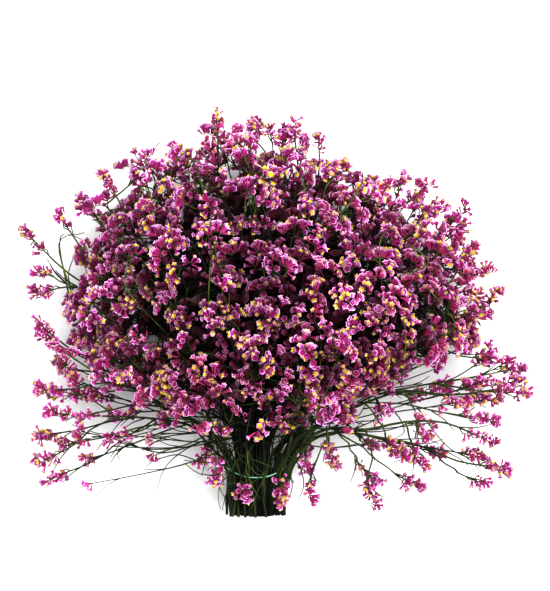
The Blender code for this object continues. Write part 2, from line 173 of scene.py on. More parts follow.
# Inner fans and deep combs take a lower tint, which turns them crimson: painted shade colour deep in the
# dome
DEEP_TINT = 0.45
DEEP_TWIG_RISE = 0.15
DEEP_PATH_PARTS = 4
LOOSE_FANS = (3, 6)
LOOSE_PITCH = 0.0044
LOOSE_PITCH_WOBBLE = (0.8, 1.2)
LOOSE_TURN = 2.3
LOOSE_TURN_WOBBLE = 0.3
LOOSE_SIDE_FROM = (0.2, 0.3, 1)
LOOSE_PARTS = 10
LOOSE_ASIDE = 0.0038
LOOSE_AHEAD = 0.004
LOOSE_TIP_ASIDE = 0.3
LOOSE_TWIG = 0.007
LOOSE_LEAN = 0.8
LOOSE_WOBBLE = 0.25
LOOSE_SHADE = 0.92
LAYER_FLORETS = ((7, 15), (8, 9), (6, 10))
LAYER_TWIG_NODES = (5, 3, 5)
LAYER_SIZES = (1, 1.16, 0.86)
FAN_ARCH = 0.0016
FAN_OPENING = (-44, 48)
FAN_ROW_TILT = 25
ROW_TILT_WOBBLE = (0.5, 1.15)
FAN_HANDLES = (0.35, 0.35)
FAN_ARRIVAL = 0.5
FLORET_PITCH = 0.00058
FLORET_WOBBLE = 0.27
FLORET_GROWTH = (0.80, 1.14)
FLORET_LENGTH = 0.0074
FLORET_SIZE = (0.74, 1.04)
FLORET_TIP = 0.0088
FLORET_TINT_WOBBLE = 0.12
MOUTH_RADIUS = 0.0025
FLOOR_CLEARANCE = 0.0004
KIND_NAMES = ("wide", "round", "flower", "bud", "shut", "inner", "comb")
PLAIN_KINDS = {"wide": 0.34, "round": 0.28, "bud": 0.20, "shut": 0.18}
FLOWERING_SHARES = (0.08, 0.15, 0.29, 0.46)
VIOLET_TOWARDS = np.array((-1.0, 2.0, 0.0))

# One winged stem for each spray, its forks, and the twigs between
MAIN_STEM_RADIUS = (0.00128, 0.00054)
MAIN_STEM_SHARES = (0.62, 1.14)
MAIN_TINT_POWER = 1.8
FORK_RADIUS = (0.00062, 0.00046)
TWIG_RADIUS = (0.00050, 0.00034)
THIN_RADIUS = 0.00034
THIN_TIP_RADIUS = 0.7 * THIN_RADIUS
COMB_RADIUS = 0.00042
FAN_TWIG_RADIUS = (TWIG_RADIUS[0], 0.8 * TWIG_RADIUS[1])
STRAND_SIDES = 6
TWIG_SIDES = 4
TUBE_FLATNESS = 0.72
CORNER_PASSES = 3
CORNER_COSINE = 0.86
STRAND_PARTS = 3
STRAND_WAVE = 0.0011
WAVE_TURNS = (1.5, 4.5)
EXTRA_STRANDS = 3
EXTRA_RADIUS = (0.00060, 0.00034)
EXTRA_THICKNESS = (0.7, 1.1)
EXTRA_ASIDE = (0.0016, 0.0029)
EXTRA_NODES = (2, 5)
EXTRA_LEAN = (0.8, 0.5)
EXTRA_REACH = (0.018, 0.034)
EXTRA_BEND = 0.003
HEAD_TINTS = (0.2, 0.8)
HEAD_TINT_WOBBLE = 0.2
SPRIG_TINT_WOBBLE = 0.15
FANS_PER_FORK = 2.8
FORK_AT = 0.42
FORK_WOBBLE = 0.0008
FORK_HANDLES = (0.4, 0.3)
FORK_NODES = 4
FORK_TINT = 0.8
FORKS_FROM = (0.3, 0.5, 0.8)
# Painted shade on the stems: darker deep in the dome, and inside the open bundle, where the outermost
# stems stay lightest
STEM_DARK_SHARES = (0.60, 0.96)
STEM_SHADES = (0.25, 1.0)
STEM_OPEN_HEIGHTS = (-0.068, -0.036)
BUNDLE_FLARE = 0.9
BUNDLE_DARK_SHARES = (0.55, 0.95, 1.5)
BUNDLE_SHADES = (0.03, 0.55, 0.8)

# Side twigs: how far their middle and their tip lie ahead and aside, as shares of their length
SIDE_TWIGS = (1, 4)
SIDE_TWIG_LENGTH = (0.010, 0.026)
SIDE_TWIG_PARTS = 2
THIN_TWIG_TINT = 0.6
STRAND_TWIG_BENDS = ((0.5, 0.22), (0.85, 0.50))
THIN_TWIG_BENDS = ((0.45, 0.14), (0.85, 0.42))

# Thin stalks that wander round the bundle, and thin cut stems that cross it
TENDRILS = 64
TENDRIL_HEIGHTS = (CUT_Y + 0.010, HUB[1] + 0.036)
TENDRIL_LOWEST = CUT_Y + 0.004
TENDRIL_TURN = 1.3
TENDRIL_CLIMB = (-0.03, 0.034)
TENDRIL_LOOSE = 0.004
TENDRIL_CLEAR = 0.0006
TENDRIL_FLARE_ABOVE = 0.012
TENDRIL_FLARE = 0.95
TENDRIL_THICKNESS = (0.8, 1.4)
TENDRIL_TAPER = 0.6
TENDRIL_TINTS = (0.5, 1.3)
TENDRIL_WOBBLE = 0.05
CROSSING_STEMS = 22
CROSSING_RADIUS = (0.00086, 0.00040)
CROSSING_TURN = (0.25, 1.05)
CROSSING_TOP = (HUB[1] - 0.006, HUB[1] + 0.026)
CROSSING_SUNK = (0.0016, 0.0032)
CROSSING_FLARE = 0.9
CROSSING_TINTS = (0.0, 0.7)
CROSSING_WOBBLE = 0.04
WANDER_SHARES = np.linspace(0, 1, 6)
WANDER_PARTS = 5

# Bare stalks over the dome, and thin stems that leave the bundle to both sides
DOME_STALKS = 70
DOME_STALK_RADIUS = (1.1 * TWIG_RADIUS[0], THIN_RADIUS)
DOME_STALK_DEPTHS = (0.002, -0.001, -0.016)
DOME_STALK_STEP = 0.22
DOME_STALK_WOBBLE = 0.06
DOME_STALK_TINTS = (0.7, 1.1)
THIN_STEMS = 28
THIN_STEM_PARTS = 4
THIN_STEM_TINT = 0.5
THIN_STEM_LATER = 0.7
THIN_STEM_ANGLES = (52, 103)
THIN_STEM_RISE = 0.16
THIN_STEM_START = (0.004, 0.03)
THIN_STEM_SCATTER = 0.004
THIN_STEM_LENGTH = (0.05, 0.135)
THIN_STEM_WOBBLE = 0.12
THIN_STEM_REACH = 0.172
THIN_STEM_LOWEST = CUT_Y + 0.008
THIN_STEM_BOW = 0.11
THIN_STEM_BENDS = ((0.4, 1.3), (-0.3, 0.9))
FLOWERING_THIN_STEMS = 0.55
TIP_FAN_AHEAD = 0.006
TIP_FAN_WOBBLE = 0.3

# Flowering sprigs beside the arms and on the rim, and bare twigs, by their places in millimetres
SIDE_SPRIG_LENGTH = (0.040, 0.062)
SIDE_SPRIG_BOW = 0.12
SIDE_SPRIG_BENDS = ((0.4, 1.0), (0.75, 0.7))
SIDE_SPRIG_PARTS = 7
SIDE_SPRIG_TINT = 0.5
SIDE_SPRIGS_MM = (
    (-164, -16, 104), (-152, -34, 92), (-142, -46, 106), (-155, -56, 97), (-130, -60, 86),
    (-140, -20, 78), (-118, -50, 112), (150, -28, 106), (164, -34, 92), (147, -48, 97),
    (158, -60, 88), (134, -62, 106), (172, -48, 101), (122, -52, 88),
    (86, 76, 104), (100, 80, 98), (113, 73, 106), (124, 66, 96), (76, 88, 110),
    (-26, 127, 112), (-14, 131, 104), (-20, 119, 122), (-4, 127, 118), (-36, 121, 108), (8, 123, 110),
    (-46, 117, 116), (20, 119, 120), (30, 122, 104),
    (128, 52, 112), (137, 43, 100), (121, 39, 122), (134, 27, 110), (139, 14, 98), (128, 8, 119),
    (136, -6, 104), (124, -17, 114), (117, 58, 122), (107, 88, 104), (90, 94, 112), (133, 61, 102),
    (121, 25, 96), (112, 34, 92), (104, 70, 112), (116, 76, 100), (-71, 71, 128), (-110, 34, 118),
    (-84, 60, 120), (-60, 84, 118),
)
BARE_TWIGS_MM = (
    ((-34, -84, 98), (-56, -93, 99), (-76, -108, 92), (-85, -130, 86)),
    ((-94, -90, 100), (-103, -93, 98), (-110, -98, 96), (-109, -104, 97)),
    ((96, -76, 100), (118, -92, 98), (132, -101, 101), (141, -103, 104)),
    ((80, -66, 96), (88, -76, 100), (90, -84, 104), (84, -88, 108)),
    ((4, -98, 106), (14, -104, 108), (22, -112, 110), (31, -119, 108)),
    ((10, -100, 96), (18, -110, 98), (20, -122, 100), (16, -132, 100)),
    ((-34, -110, 104), (-44, -114, 108), (-54, -112, 110), (-62, -106, 110)),
)


def unit(vectors):
    """The directions of vectors."""
    return vectors / np.linalg.norm(vectors, axis=-1, keepdims=True)


def parting(places, wanted):
    """The pushes that part places which lie nearer to each other than wanted."""
    offset = places[:, None] - places[None, :]
    distance = np.linalg.norm(offset, axis=2) + np.eye(len(places))
    overlap = np.clip(wanted - distance, 0, None) * (1 - np.eye(len(places)))
    return (offset * (overlap / distance)[..., None]).sum(1)


def even_directions(count):
    """Directions spread evenly over a sphere, along a golden spiral round the Y axis."""
    step = np.arange(count) + 0.5
    height = 1 - 2 * step / count
    turn = step * math.pi * (3 - math.sqrt(5))
    width = np.sqrt(1 - height ** 2)
    return np.stack((width * np.cos(turn), height, width * np.sin(turn)), axis=1)


def dome_reach(directions):
    """Distance from the dome's centre to its skin, which leans a little to the left."""
    leaned = directions + directions[..., :1] * DOME_LEAN
    return (np.abs(leaned / DOME_HALF) ** DOME_SQUARENESS).sum(-1) ** (-1 / DOME_SQUARENESS)


def skirt_line(centres):
    """Lowest Y of a dome head: nearer to the crown the further it lies from the bundle."""
    aside = np.maximum(np.abs(centres[:, 0] - HUB[0]) - SKIRT_FLAT, 0)
    return SKIRT_LOW + SKIRT_SLOPE * aside


def place_heads(draw):
    """Centres and radii of all heads, first those of the dome, then the loose ones."""
    directions = even_directions(DOME_DIRECTIONS)
    sizes = draw.uniform(*HEAD_RADIUS, len(directions))
    depth = draw.uniform(0, HEAD_SINK, len(directions))
    centres = DOME_CENTRE + directions * (dome_reach(directions) - sizes - depth)[:, None]
    kept = centres[:, 1] > skirt_line(centres)
    loose = np.array(LOOSE_HEADS_MM) / 1000
    centres = np.vstack((centres[kept], loose))
    radii = np.concatenate((sizes[kept], np.full(len(loose), LOOSE_RADIUS)))
    sink = np.concatenate((depth[kept], np.zeros(len(loose))))
    return settle_heads(centres, radii, sink, kept.sum()), radii, int(kept.sum())


def settle_heads(centres, radii, sink, dome_count):
    """Push the dome's heads apart until none touch, inside the dome's skin and above the floor."""
    free = (np.arange(len(radii)) < dome_count)[:, None]
    touching = radii[:, None] + radii[None, :] + HEAD_GAP
    for round_number in range(SPREAD_ROUNDS + SETTLE_ROUNDS):
        spreading = round_number < SPREAD_ROUNDS
        reach, step = (SPREAD_REACH, SPREAD_STEP) if spreading else (1, SETTLE_STEP)
        centres = centres + step * parting(centres, touching * reach) * free
        local = centres - DOME_CENTRE
        length = np.linalg.norm(local, axis=1)
        limit = dome_reach(local / length[:, None]) - radii - (sink if spreading else 0)
        nearest = limit / length if spreading else np.minimum(1, limit / length)
        shrink = np.where(free[:, 0], nearest, 1)
        centres = DOME_CENTRE + local * shrink[:, None]
        centres[:, 2] = np.maximum(centres[:, 2], FLOOR_SEAT * radii)
        raised = np.maximum(centres[:, 1], skirt_line(centres))
        centres[:, 1] = np.where(free[:, 0], raised, centres[:, 1])
    return centres


def share_out(centres):
    """Number of the spray that carries each head: heads in like directions share a stem."""
    directions = unit(centres - SHARING_POINT)
    middles = directions[np.linspace(0, len(directions) - 1, STEM_COUNT).astype(int)]
    for round_number in range(SHARING_ROUNDS):
        owner = (directions @ middles.T).argmax(1)
        counts = np.bincount(owner, minlength=STEM_COUNT)
        middles = unit(np.array([directions[owner == k].sum(0) + 1e-6 * middles[k]
                                 for k in range(STEM_COUNT)]))
        evening = round_number % EVENING_EVERY == EVENING_EVERY - 1
        if evening and counts.max() > counts.min() + EVENING_EXCESS:
            full = np.flatnonzero(owner == counts.argmax())
            outlier = full[(directions[full] @ middles[counts.argmax()]).argmin()]
            middles[counts.argmin()] = directions[outlier]
    owner = (directions @ middles.T).argmax(1)
    return owner, middles


def bundle_slots(middles):
    """Places of the stems in the tied bundle: steep stems inside, spreading stems outside."""
    around = np.arctan2(middles[:, 2], middles[:, 0])
    rank = np.argsort(np.argsort(-middles[:, 1]))
    ring = BUNDLE_RADIUS * np.sqrt((rank + RANK_SHIFT) / len(rank))
    slots = np.stack((ring * np.cos(around), ring * np.sin(around)), axis=1)
    spacing = STEM_PACKING * STEM_RADIUS[0] + TOUCH_GAP
    for round_number in range(PACKING_ROUNDS):
        slots = slots + PACKING_STEP * parting(slots, spacing)
        if round_number < PULLED_ROUNDS:
            slots *= PACKING_PULL
    return slots


def bezier(a, b, c, d, fractions):
    """Points on the curve from a to d that leaves towards b and arrives from c."""
    t = np.asarray(fractions)[:, None]
    return (1 - t) ** 3 * a + 3 * (1 - t) ** 2 * t * b + 3 * (1 - t) * t ** 2 * c + t ** 3 * d


def stem_path(slot, foot, axis):
    """From the cut end through the tie and on in one bend to the foot of the top head."""
    cut = np.array((HUB[0] + slot[0] * CUT_SHRINK, CUT_Y, HUB[2] + slot[1] * CUT_SHRINK))
    held = np.array((HUB[0] + slot[0], TIE_Y + TIE_DIP + HELD_ABOVE, HUB[2] + slot[1]))
    span = np.linalg.norm(foot - held)
    straight_up = np.array((0, 1, 0))
    leaving = unit((1 - STEM_FLARE) * straight_up + STEM_FLARE * unit(foot - held))
    rise = held + STEM_HANDLE * span * leaving
    curve = bezier(held, rise, foot - STEM_HANDLE * span * axis, foot, STEM_FRACTIONS)
    return np.vstack((cut, curve))


def point_on(path, place):
    """Point at a place given as node number and fraction."""
    index = int(place)
    return path[index] + (place - index) * (path[index + 1] - path[index])


def branch_path(stem, root, foot, axis):
    """From a place on the stem, along it at first, then out to the foot of a side head."""
    start = point_on(stem, root)
    along = unit(stem[int(root) + 1] - stem[int(root)])
    leaving = unit((1 - FORK_SPREAD) * along + FORK_SPREAD * unit(foot - start))
    reach = BRANCH_HANDLE * np.linalg.norm(foot - start)
    return bezier(start, start + reach * leaving, foot - reach * axis, foot, BRANCH_FRACTIONS)


def roots_on_stem(stem, heads):
    """Places on the stem, as node number and fraction, where branches leave, nearest heads lowest."""
    order = np.argsort(np.argsort(np.linalg.norm(heads - HUB, axis=1)))
    low, high = ROOT_SPAN
    share = (order + 0.5) / len(heads)
    return (low + (high - low) * share) * (len(stem) - 1)


def grow_limbs(centres, radii):
    """Every stem and branch as a dict with its spray, path, tube radii, head and root."""
    owner, middles = share_out(centres)
    slots = bundle_slots(middles)
    radial = unit(centres - HUB)
    limbs = []
    for spray in range(STEM_COUNT):
        heads = np.flatnonzero(owner == spray)
        away = np.linalg.norm(centres[heads] - HUB, axis=1)
        top = heads[(radial[heads] @ middles[spray] + FAR_HEAD_FAVOUR * away).argmax()]
        foot = centres[top] + NECK_AT * radii[top] * radial[top]
        stem = {"spray": spray, "path": stem_path(slots[spray], foot, radial[top]), "head": top,
                "parent": None, "root": 0.0, "axis": radial[top], "radius": STEM_RADIUS}
        limbs.append(stem)
        side_heads = heads[heads != top]
        for head, root in zip(side_heads, roots_on_stem(stem["path"], centres[side_heads])):
            leaning = unit(centres[head] - point_on(stem["path"], root))
            axis = unit(RADIAL_SHARE * radial[head] + (1 - RADIAL_SHARE) * leaning)
            foot = centres[head] + NECK_AT * radii[head] * axis
            limbs.append({"spray": spray, "path": branch_path(stem["path"], root, foot, axis),
                          "head": head, "parent": stem, "root": root, "axis": axis,
                          "radius": BRANCH_RADIUS})
    return limbs, slots


def outline_reach(slots, turn):
    """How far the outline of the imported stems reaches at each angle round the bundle's middle."""
    facing = np.arange(OUTLINE_DIRECTIONS) * 2 * math.pi / OUTLINE_DIRECTIONS
    support = (slots @ np.stack((np.cos(facing), np.sin(facing)))).max(0) + STEM_RADIUS[0]
    lean = np.cos(turn[:, None] - facing[None, :])
    return np.where(lean > OUTLINE_LEAN, support / np.maximum(lean, OUTLINE_LEAN), 1).min(1)


def tie_ring(count, slots):
    """Middle line of the string round the bundle, which dips towards the cut ends on top."""
    turn = np.arange(count) * 2 * math.pi / count
    height = TIE_Y - TIE_DIP * np.sin(turn)
    held_height = TIE_Y + TIE_DIP + HELD_ABOVE - CUT_Y
    narrowing = CUT_SHRINK + (1 - CUT_SHRINK) * (height - CUT_Y) / held_height
    radius = narrowing * outline_reach(slots, turn) + TIE_STRING_RADIUS + TOUCH_GAP
    return np.stack((HUB[0] + radius * np.cos(turn), height, HUB[2] + radius * np.sin(turn)), axis=1)


def limb_radii(limb):
    """The limb's radius at each of its nodes."""
    first, last = limb["radius"]
    sizes = np.linspace(first, last, len(limb["path"]))
    if limb["parent"] is None:
        sizes[0] *= CUT_SHRINK
    return sizes


def nearest_shares(start, end, other_start, other_end):
    """How far along each of two straight pieces their nearest points lie, from 0 to 1."""
    along = end - start
    other_along = other_end - other_start
    between = start - other_start
    size = (along ** 2).sum(1)
    other_size = (other_along ** 2).sum(1) + 1e-12
    mixed = (along * other_along).sum(1)
    lead = (along * between).sum(1)
    other_lead = (other_along * between).sum(1)
    spread = np.maximum(size * other_size - mixed ** 2, 1e-12 * size * other_size + 1e-24)
    share = np.clip((mixed * other_lead - lead * other_size) / spread, 0, 1)
    other_share = np.clip((mixed * share + other_lead) / other_size, 0, 1)
    return np.clip((mixed * other_share - lead) / size, 0, 1), other_share


def too_near(pieces, others, here, there, margin):
    """For pairs of tapered rods: the push that parts them, where they are nearer than the margin."""
    start, end, first, last = (part[here] for part in pieces)
    other_start, other_end, other_first, other_last = (part[there] for part in others)
    share, other_share = nearest_shares(start, end, other_start, other_end)
    need = (first * (1 - share) + last * share
            + other_first * (1 - other_share) + other_last * other_share + margin)
    offset = (start + share[:, None] * (end - start)
              - (other_start + other_share[:, None] * (other_end - other_start)))
    distance = np.linalg.norm(offset, axis=1) + 1e-9
    near = distance < need
    push = offset[near] * ((need - distance) / distance)[near, None]
    return here[near], there[near], share[near], push


def bend_clear(limbs, centres, radii, ring):
    """Bend stems and branches clear of heads, of the string, and of other sprays' limbs."""
    sizes = np.array([len(limb["path"]) for limb in limbs])
    begins = np.concatenate(([0], np.cumsum(sizes)[:-1]))
    nodes = np.vstack([limb["path"] for limb in limbs])
    thick = np.concatenate([limb_radii(limb) for limb in limbs])
    spray = np.repeat([limb["spray"] for limb in limbs], sizes)
    number = np.repeat(np.arange(len(limbs)), sizes)
    movable = np.ones((len(nodes), 1))
    movable[begins + sizes - 1] = 0
    low = np.setdiff1d(np.arange(len(nodes)), begins + sizes - 1)
    begin_of = {}
    for begin, limb in zip(begins, limbs):
        movable[begin:begin + (2 if limb["parent"] is None else 1)] = 0
        begin_of[id(limb)] = begin
    carrier = np.zeros(len(centres), int)
    for index, limb in enumerate(limbs):
        carrier[limb["head"]] = index
    string = np.full(len(ring), TIE_STRING_RADIUS)
    ring_rods = (ring, np.roll(ring, -1, axis=0), string, string)
    head_rods = (centres, centres, radii, radii)
    possible = [np.nonzero(spray[low][:, None] != spray[low][None, :]),
                np.nonzero(number[low][:, None] != carrier[None, :]),
                np.nonzero(np.ones((len(low), len(ring)), bool))]
    for round_number in range(BEND_ROUNDS):
        limb_rods = (nodes[low], nodes[low + 1], thick[low], thick[low + 1])
        obstacles = (limb_rods, head_rods, ring_rods)
        if round_number % BEND_RELIST == 0:
            pair_lists = [too_near(limb_rods, others, *pairs, BEND_GAP + BEND_MARGIN)[:2]
                          for pairs, others in zip(possible, obstacles)]
        move = np.zeros_like(nodes)
        weight = np.zeros((len(nodes), 1))
        for pairs, others, part in zip(pair_lists, obstacles, BEND_PARTS):
            index, _, share, push = too_near(limb_rods, others, *pairs, BEND_GAP)
            for node, near in ((low[index], (1 - share)[:, None]), (low[index] + 1, share[:, None])):
                np.add.at(move, node, push * part * near)
                np.add.at(weight, node, near ** 2)
        nodes = nodes + movable * move / np.maximum(weight, BEND_LEAST_WEIGHT)
        nodes[:, 2] = np.maximum(nodes[:, 2], thick + BEND_GAP)
        for begin, limb in zip(begins, limbs):
            if limb["parent"] is not None:
                below = begin_of[id(limb["parent"])] + int(limb["root"])
                part = limb["root"] % 1
                nodes[begin] = nodes[below] * (1 - part) + nodes[below + 1] * part
    for begin, size, limb in zip(begins, sizes, limbs):
        limb["path"] = nodes[begin:begin + size]


# The finer pieces that stand for the sprays
def smooth_path(path, parts):
    """More points along a path, on a smooth curve through its own points."""
    path = np.asarray(path, float)
    before = np.vstack((2 * path[0] - path[1], path[:-1]))
    after = np.vstack((path[1:], 2 * path[-1] - path[-2]))
    points = []
    for k in range(len(path) - 1):
        a, b, c, d = before[k], path[k], path[k + 1], after[k + 1]
        for t in np.arange(parts) / parts:
            points.append(0.5 * (2 * b + (c - a) * t + (2 * a - 5 * b + 4 * c - d) * t ** 2
                                 + (3 * b - a - 3 * c + d) * t ** 3))
    points.append(path[-1])
    return np.array(points)


def nearest_node(points, wanted):
    """The point that lies nearest to the wanted place."""
    points = np.asarray(points)
    return points[np.linalg.norm(points - wanted, axis=1).argmin()]


def nearest_spray(sprays, place):
    """The spray that comes nearest to a place, and its nearest node."""
    nodes = np.array([nearest_node(spray.points, place) for spray in sprays])
    number = np.linalg.norm(nodes - place, axis=1).argmin()
    return sprays[number], nodes[number]


def joined_path(sprays, nodes, end, parts):
    """A smooth path with one end moved onto the nearest spray, and that spray."""
    spray, nodes[end] = nearest_spray(sprays, nodes[end])
    return spray, smooth_path(nodes, parts)


def curved_twig(start, leaving, tip, arriving, handles, count):
    """A twig with given directions at both ends."""
    span = np.linalg.norm(tip - start)
    return bezier(start, start + leaving * handles[0] * span, tip - arriving * handles[1] * span, tip,
                  np.linspace(0, 1, count))


def sideways_bow(start, tip, size, draw):
    """A vector across the line from start to tip, in any direction round it."""
    return np.cross(unit(tip - start), unit(draw.normal(0, 1, 3))) * size


def round_hub(reach, angle, height):
    """The place at a distance and an angle from the bundle's middle line."""
    return HUB[0] + reach * math.cos(angle), height, HUB[2] + reach * math.sin(angle)


def stem_shade(path):
    """Painted shade on stems: darker the deeper they lie in the dome, or in the open bundle below it."""
    local = path - DOME_CENTRE
    length = np.linalg.norm(local, axis=1) + 1e-6
    share = length / dome_reach(local / length[:, None])
    inside = np.interp(share, STEM_DARK_SHARES, STEM_SHADES)
    flared = BUNDLE_RADIUS + BUNDLE_FLARE * np.maximum(path[:, 1] - TIE_Y, 0)
    from_axis = np.linalg.norm((path - HUB)[:, (0, 2)], axis=1) / flared
    outermost = np.interp(from_axis, BUNDLE_DARK_SHARES, BUNDLE_SHADES)
    below = np.interp(path[:, 1], STEM_OPEN_HEIGHTS, (1, 0))
    return below * outermost + (1 - below) * inside


class SprayParts:
    """Everything of one spray: its tubes' nodes and its florets' places, each with its POINT_VALUES."""

    def __init__(self):
        self.points, self.edges, self.tubes = [], [], []
        self.places, self.facings, self.florets = [], [], []

    def add_tube(self, path, first, last, tint, strand=False):
        path = np.array(path, float)
        thick = np.linspace(first, last, len(path))
        path[:, 2] = np.maximum(path[:, 2], thick + FLOOR_CLEARANCE)
        begin = len(self.points)
        self.points += list(path)
        self.tubes += [(1, strand, radius, tint, shade, 0, 0, 0)
                       for radius, shade in zip(thick, stem_shade(path))]
        self.edges += [(k, k + 1) for k in range(begin, begin + len(path) - 1)]

    def add_floret(self, place, facing, size, spin, tint, shade, kind):
        facing = facing / np.linalg.norm(facing)
        flare = MOUTH_RADIUS * size * math.sqrt(max(0, 1 - facing[2] ** 2))
        lowest = min(place[2] + FLORET_TIP * size * facing[2] - flare, place[2])
        if lowest < FLOOR_CLEARANCE:
            place = place + np.array((0, 0, FLOOR_CLEARANCE - lowest))
        self.places.append(place)
        self.facings.append(facing)
        self.florets.append((0, 0, 0, tint, shade, spin, size, KIND_NAMES.index(kind)))


def cover(directions, centres, radii):
    """For rays out of the dome's middle: how far out the heads' cover lies, and whose head it is."""
    local = centres - DOME_CENTRE
    ahead = directions @ local.T
    aside = np.sqrt(np.maximum((local ** 2).sum(1) - ahead ** 2, 0))
    swollen = (COVER_SWELL * radii) ** 2 - aside ** 2
    rise = np.sqrt(np.maximum(swollen, (VALLEY_RISE * radii) ** 2))
    out = np.where((aside < COVER_REACH * radii) & (ahead > 0), ahead + rise, 0)
    return out.max(1), out.argmax(1)


def spread_on_dome(count, depth_range, spacing, centres, radii, draw):
    """Places spread evenly under the dome's cover, with their heads, directions and depths."""
    directions = unit(even_directions(count) + draw.normal(0, PLACE_WOBBLE, (count, 3)))
    depth = draw.uniform(*depth_range, count)
    for round_number in range(PLACE_ROUNDS + 1):
        out, owner = cover(directions, centres, radii)
        places = DOME_CENTRE + directions * np.maximum(out - depth, LEAST_REACH)[:, None]
        if round_number < PLACE_ROUNDS:
            places = places + PLACE_STEP * parting(places, spacing)
            directions = unit(places - DOME_CENTRE)
    places[:, 2] = np.maximum(places[:, 2], MOUTH_RADIUS)
    kept = out > 0
    return zip(places[kept], owner[kept], directions[kept], depth[kept])


def flower_share(place):
    """How much of the flowers is left: they thin out towards the funnel of stems above the tie."""
    share = np.interp(place[1], FUNNEL_HEIGHTS, FUNNEL_FLOWERS)
    beside = np.clip((abs(place[0] - HUB[0]) - FUNNEL_HALF_WIDTH) / FUNNEL_EDGE, 0, 1)
    return share + (1 - share) * beside


def place_fans(centres, radii, limbs, dome_count, draw):
    """Every fan, with the number of the head that carries it; only loose fans know their foot."""
    heads = centres[:dome_count], radii[:dome_count], draw
    fans = []
    for place, head, out, depth in spread_on_dome(*CLUSTERS, *heads):
        leaning = unit(unit(place - HUB) * FAN_SHARES[0] + out * FAN_SHARES[1]
                       + unit(place - centres[head]) * FAN_SHARES[2] + draw.normal(0, FAN_WOBBLE, 3))
        along, across = fan_frame(leaning, draw)
        count = CLUSTER_FANS[draw.integers(len(CLUSTER_FANS))]
        # Painted shade: darker the deeper the cluster lies
        shade = np.interp(depth, SHADE_DEPTHS, SHADES)
        if draw.random() < PALE_SHARE:
            shade = shade * PALE_SHADE
        for k in range(count):
            step = (k - (count - 1) / 2) * CLUSTER_PITCH * draw.uniform(*PITCH_WOBBLE)
            spot = (place + along * step + across * draw.normal(0, CLUSTER_SCATTER)
                    + leaning * (draw.normal(0, CLUSTER_SCATTER) - CLUSTER_FALL * step ** 2))
            spread = along * step / CLUSTER_PITCH * CLUSTER_OPENING
            facing = unit(leaning + spread + draw.normal(0, CLUSTER_WOBBLE, 3))
            if draw.random() <= flower_share(spot):
                fans.append(Fan(head, spot, facing, OUTER, None, shade * draw.uniform(*SHADE_WOBBLE)))
    for layer, spreading, (lean, wobble) in ((UNDER, UNDER_FANS, UNDER_LEAN),
                                             (DEEP, DEEP_COMBS, DEEP_LEAN)):
        for place, head, out, depth in spread_on_dome(*spreading, *heads):
            if layer == UNDER and draw.random() > flower_share(place) ** 2:
                continue
            facing = unit(unit(place - HUB) + lean * out + draw.normal(0, wobble, 3))
            # Painted shade: darker the deeper the fan lies
            shade = np.interp(depth, SHADE_DEPTHS, SHADES) * draw.uniform(*SHADE_WOBBLE)
            fans.append(Fan(head, place, facing, layer, None, shade))
    for limb in limbs:
        if limb["head"] >= dome_count:
            stalk = smooth_path(np.vstack((limb["path"], centres[limb["head"]])), LOOSE_PARTS)
            fans += loose_fans(stalk, limb["head"], draw)
    return fans


def loose_fans(path, head, draw):
    """Small fans that alternate along the end of a loose stalk."""
    lengths = np.concatenate(([0], np.cumsum(np.linalg.norm(np.diff(path, axis=0), axis=1))))
    turn = draw.uniform(0, math.pi)
    fans = []
    for k in range(draw.integers(*LOOSE_FANS)):
        back = max(lengths[-1] - k * LOOSE_PITCH * draw.uniform(*LOOSE_PITCH_WOBBLE), 0)
        node = min(max(int(np.searchsorted(lengths, back)), 1), len(path) - 1)
        along = unit(path[node] - path[node - 1])
        side = unit(np.cross(along, LOOSE_SIDE_FROM))
        angle = turn + k * LOOSE_TURN + draw.normal(0, LOOSE_TURN_WOBBLE)
        aside = math.cos(angle) * side + math.sin(angle) * np.cross(along, side)
        if k == 0:
            aside = aside * LOOSE_TIP_ASIDE
        foot = path[np.searchsorted(lengths, max(back - LOOSE_TWIG, 0))]
        spot = path[node] + along * LOOSE_AHEAD + aside * LOOSE_ASIDE
        facing = unit(along * LOOSE_LEAN + aside + draw.normal(0, LOOSE_WOBBLE, 3))
        shade = LOOSE_SHADE * draw.uniform(*SHADE_WOBBLE)
        fans.append(Fan(head, spot, facing, LOOSE, foot, shade))
    return fans


def fan_frame(facing, draw):
    """Direction of the comb and the direction across it."""
    along = draw.normal(0, 1, 3)
    along = unit(along - facing * (along @ facing))
    return along, np.cross(facing, along)


def varied(tint, wobble, draw):
    """A tint a little off the given one, from 0 to 1."""
    return float(np.clip(tint + draw.normal(0, wobble), 0, 1))


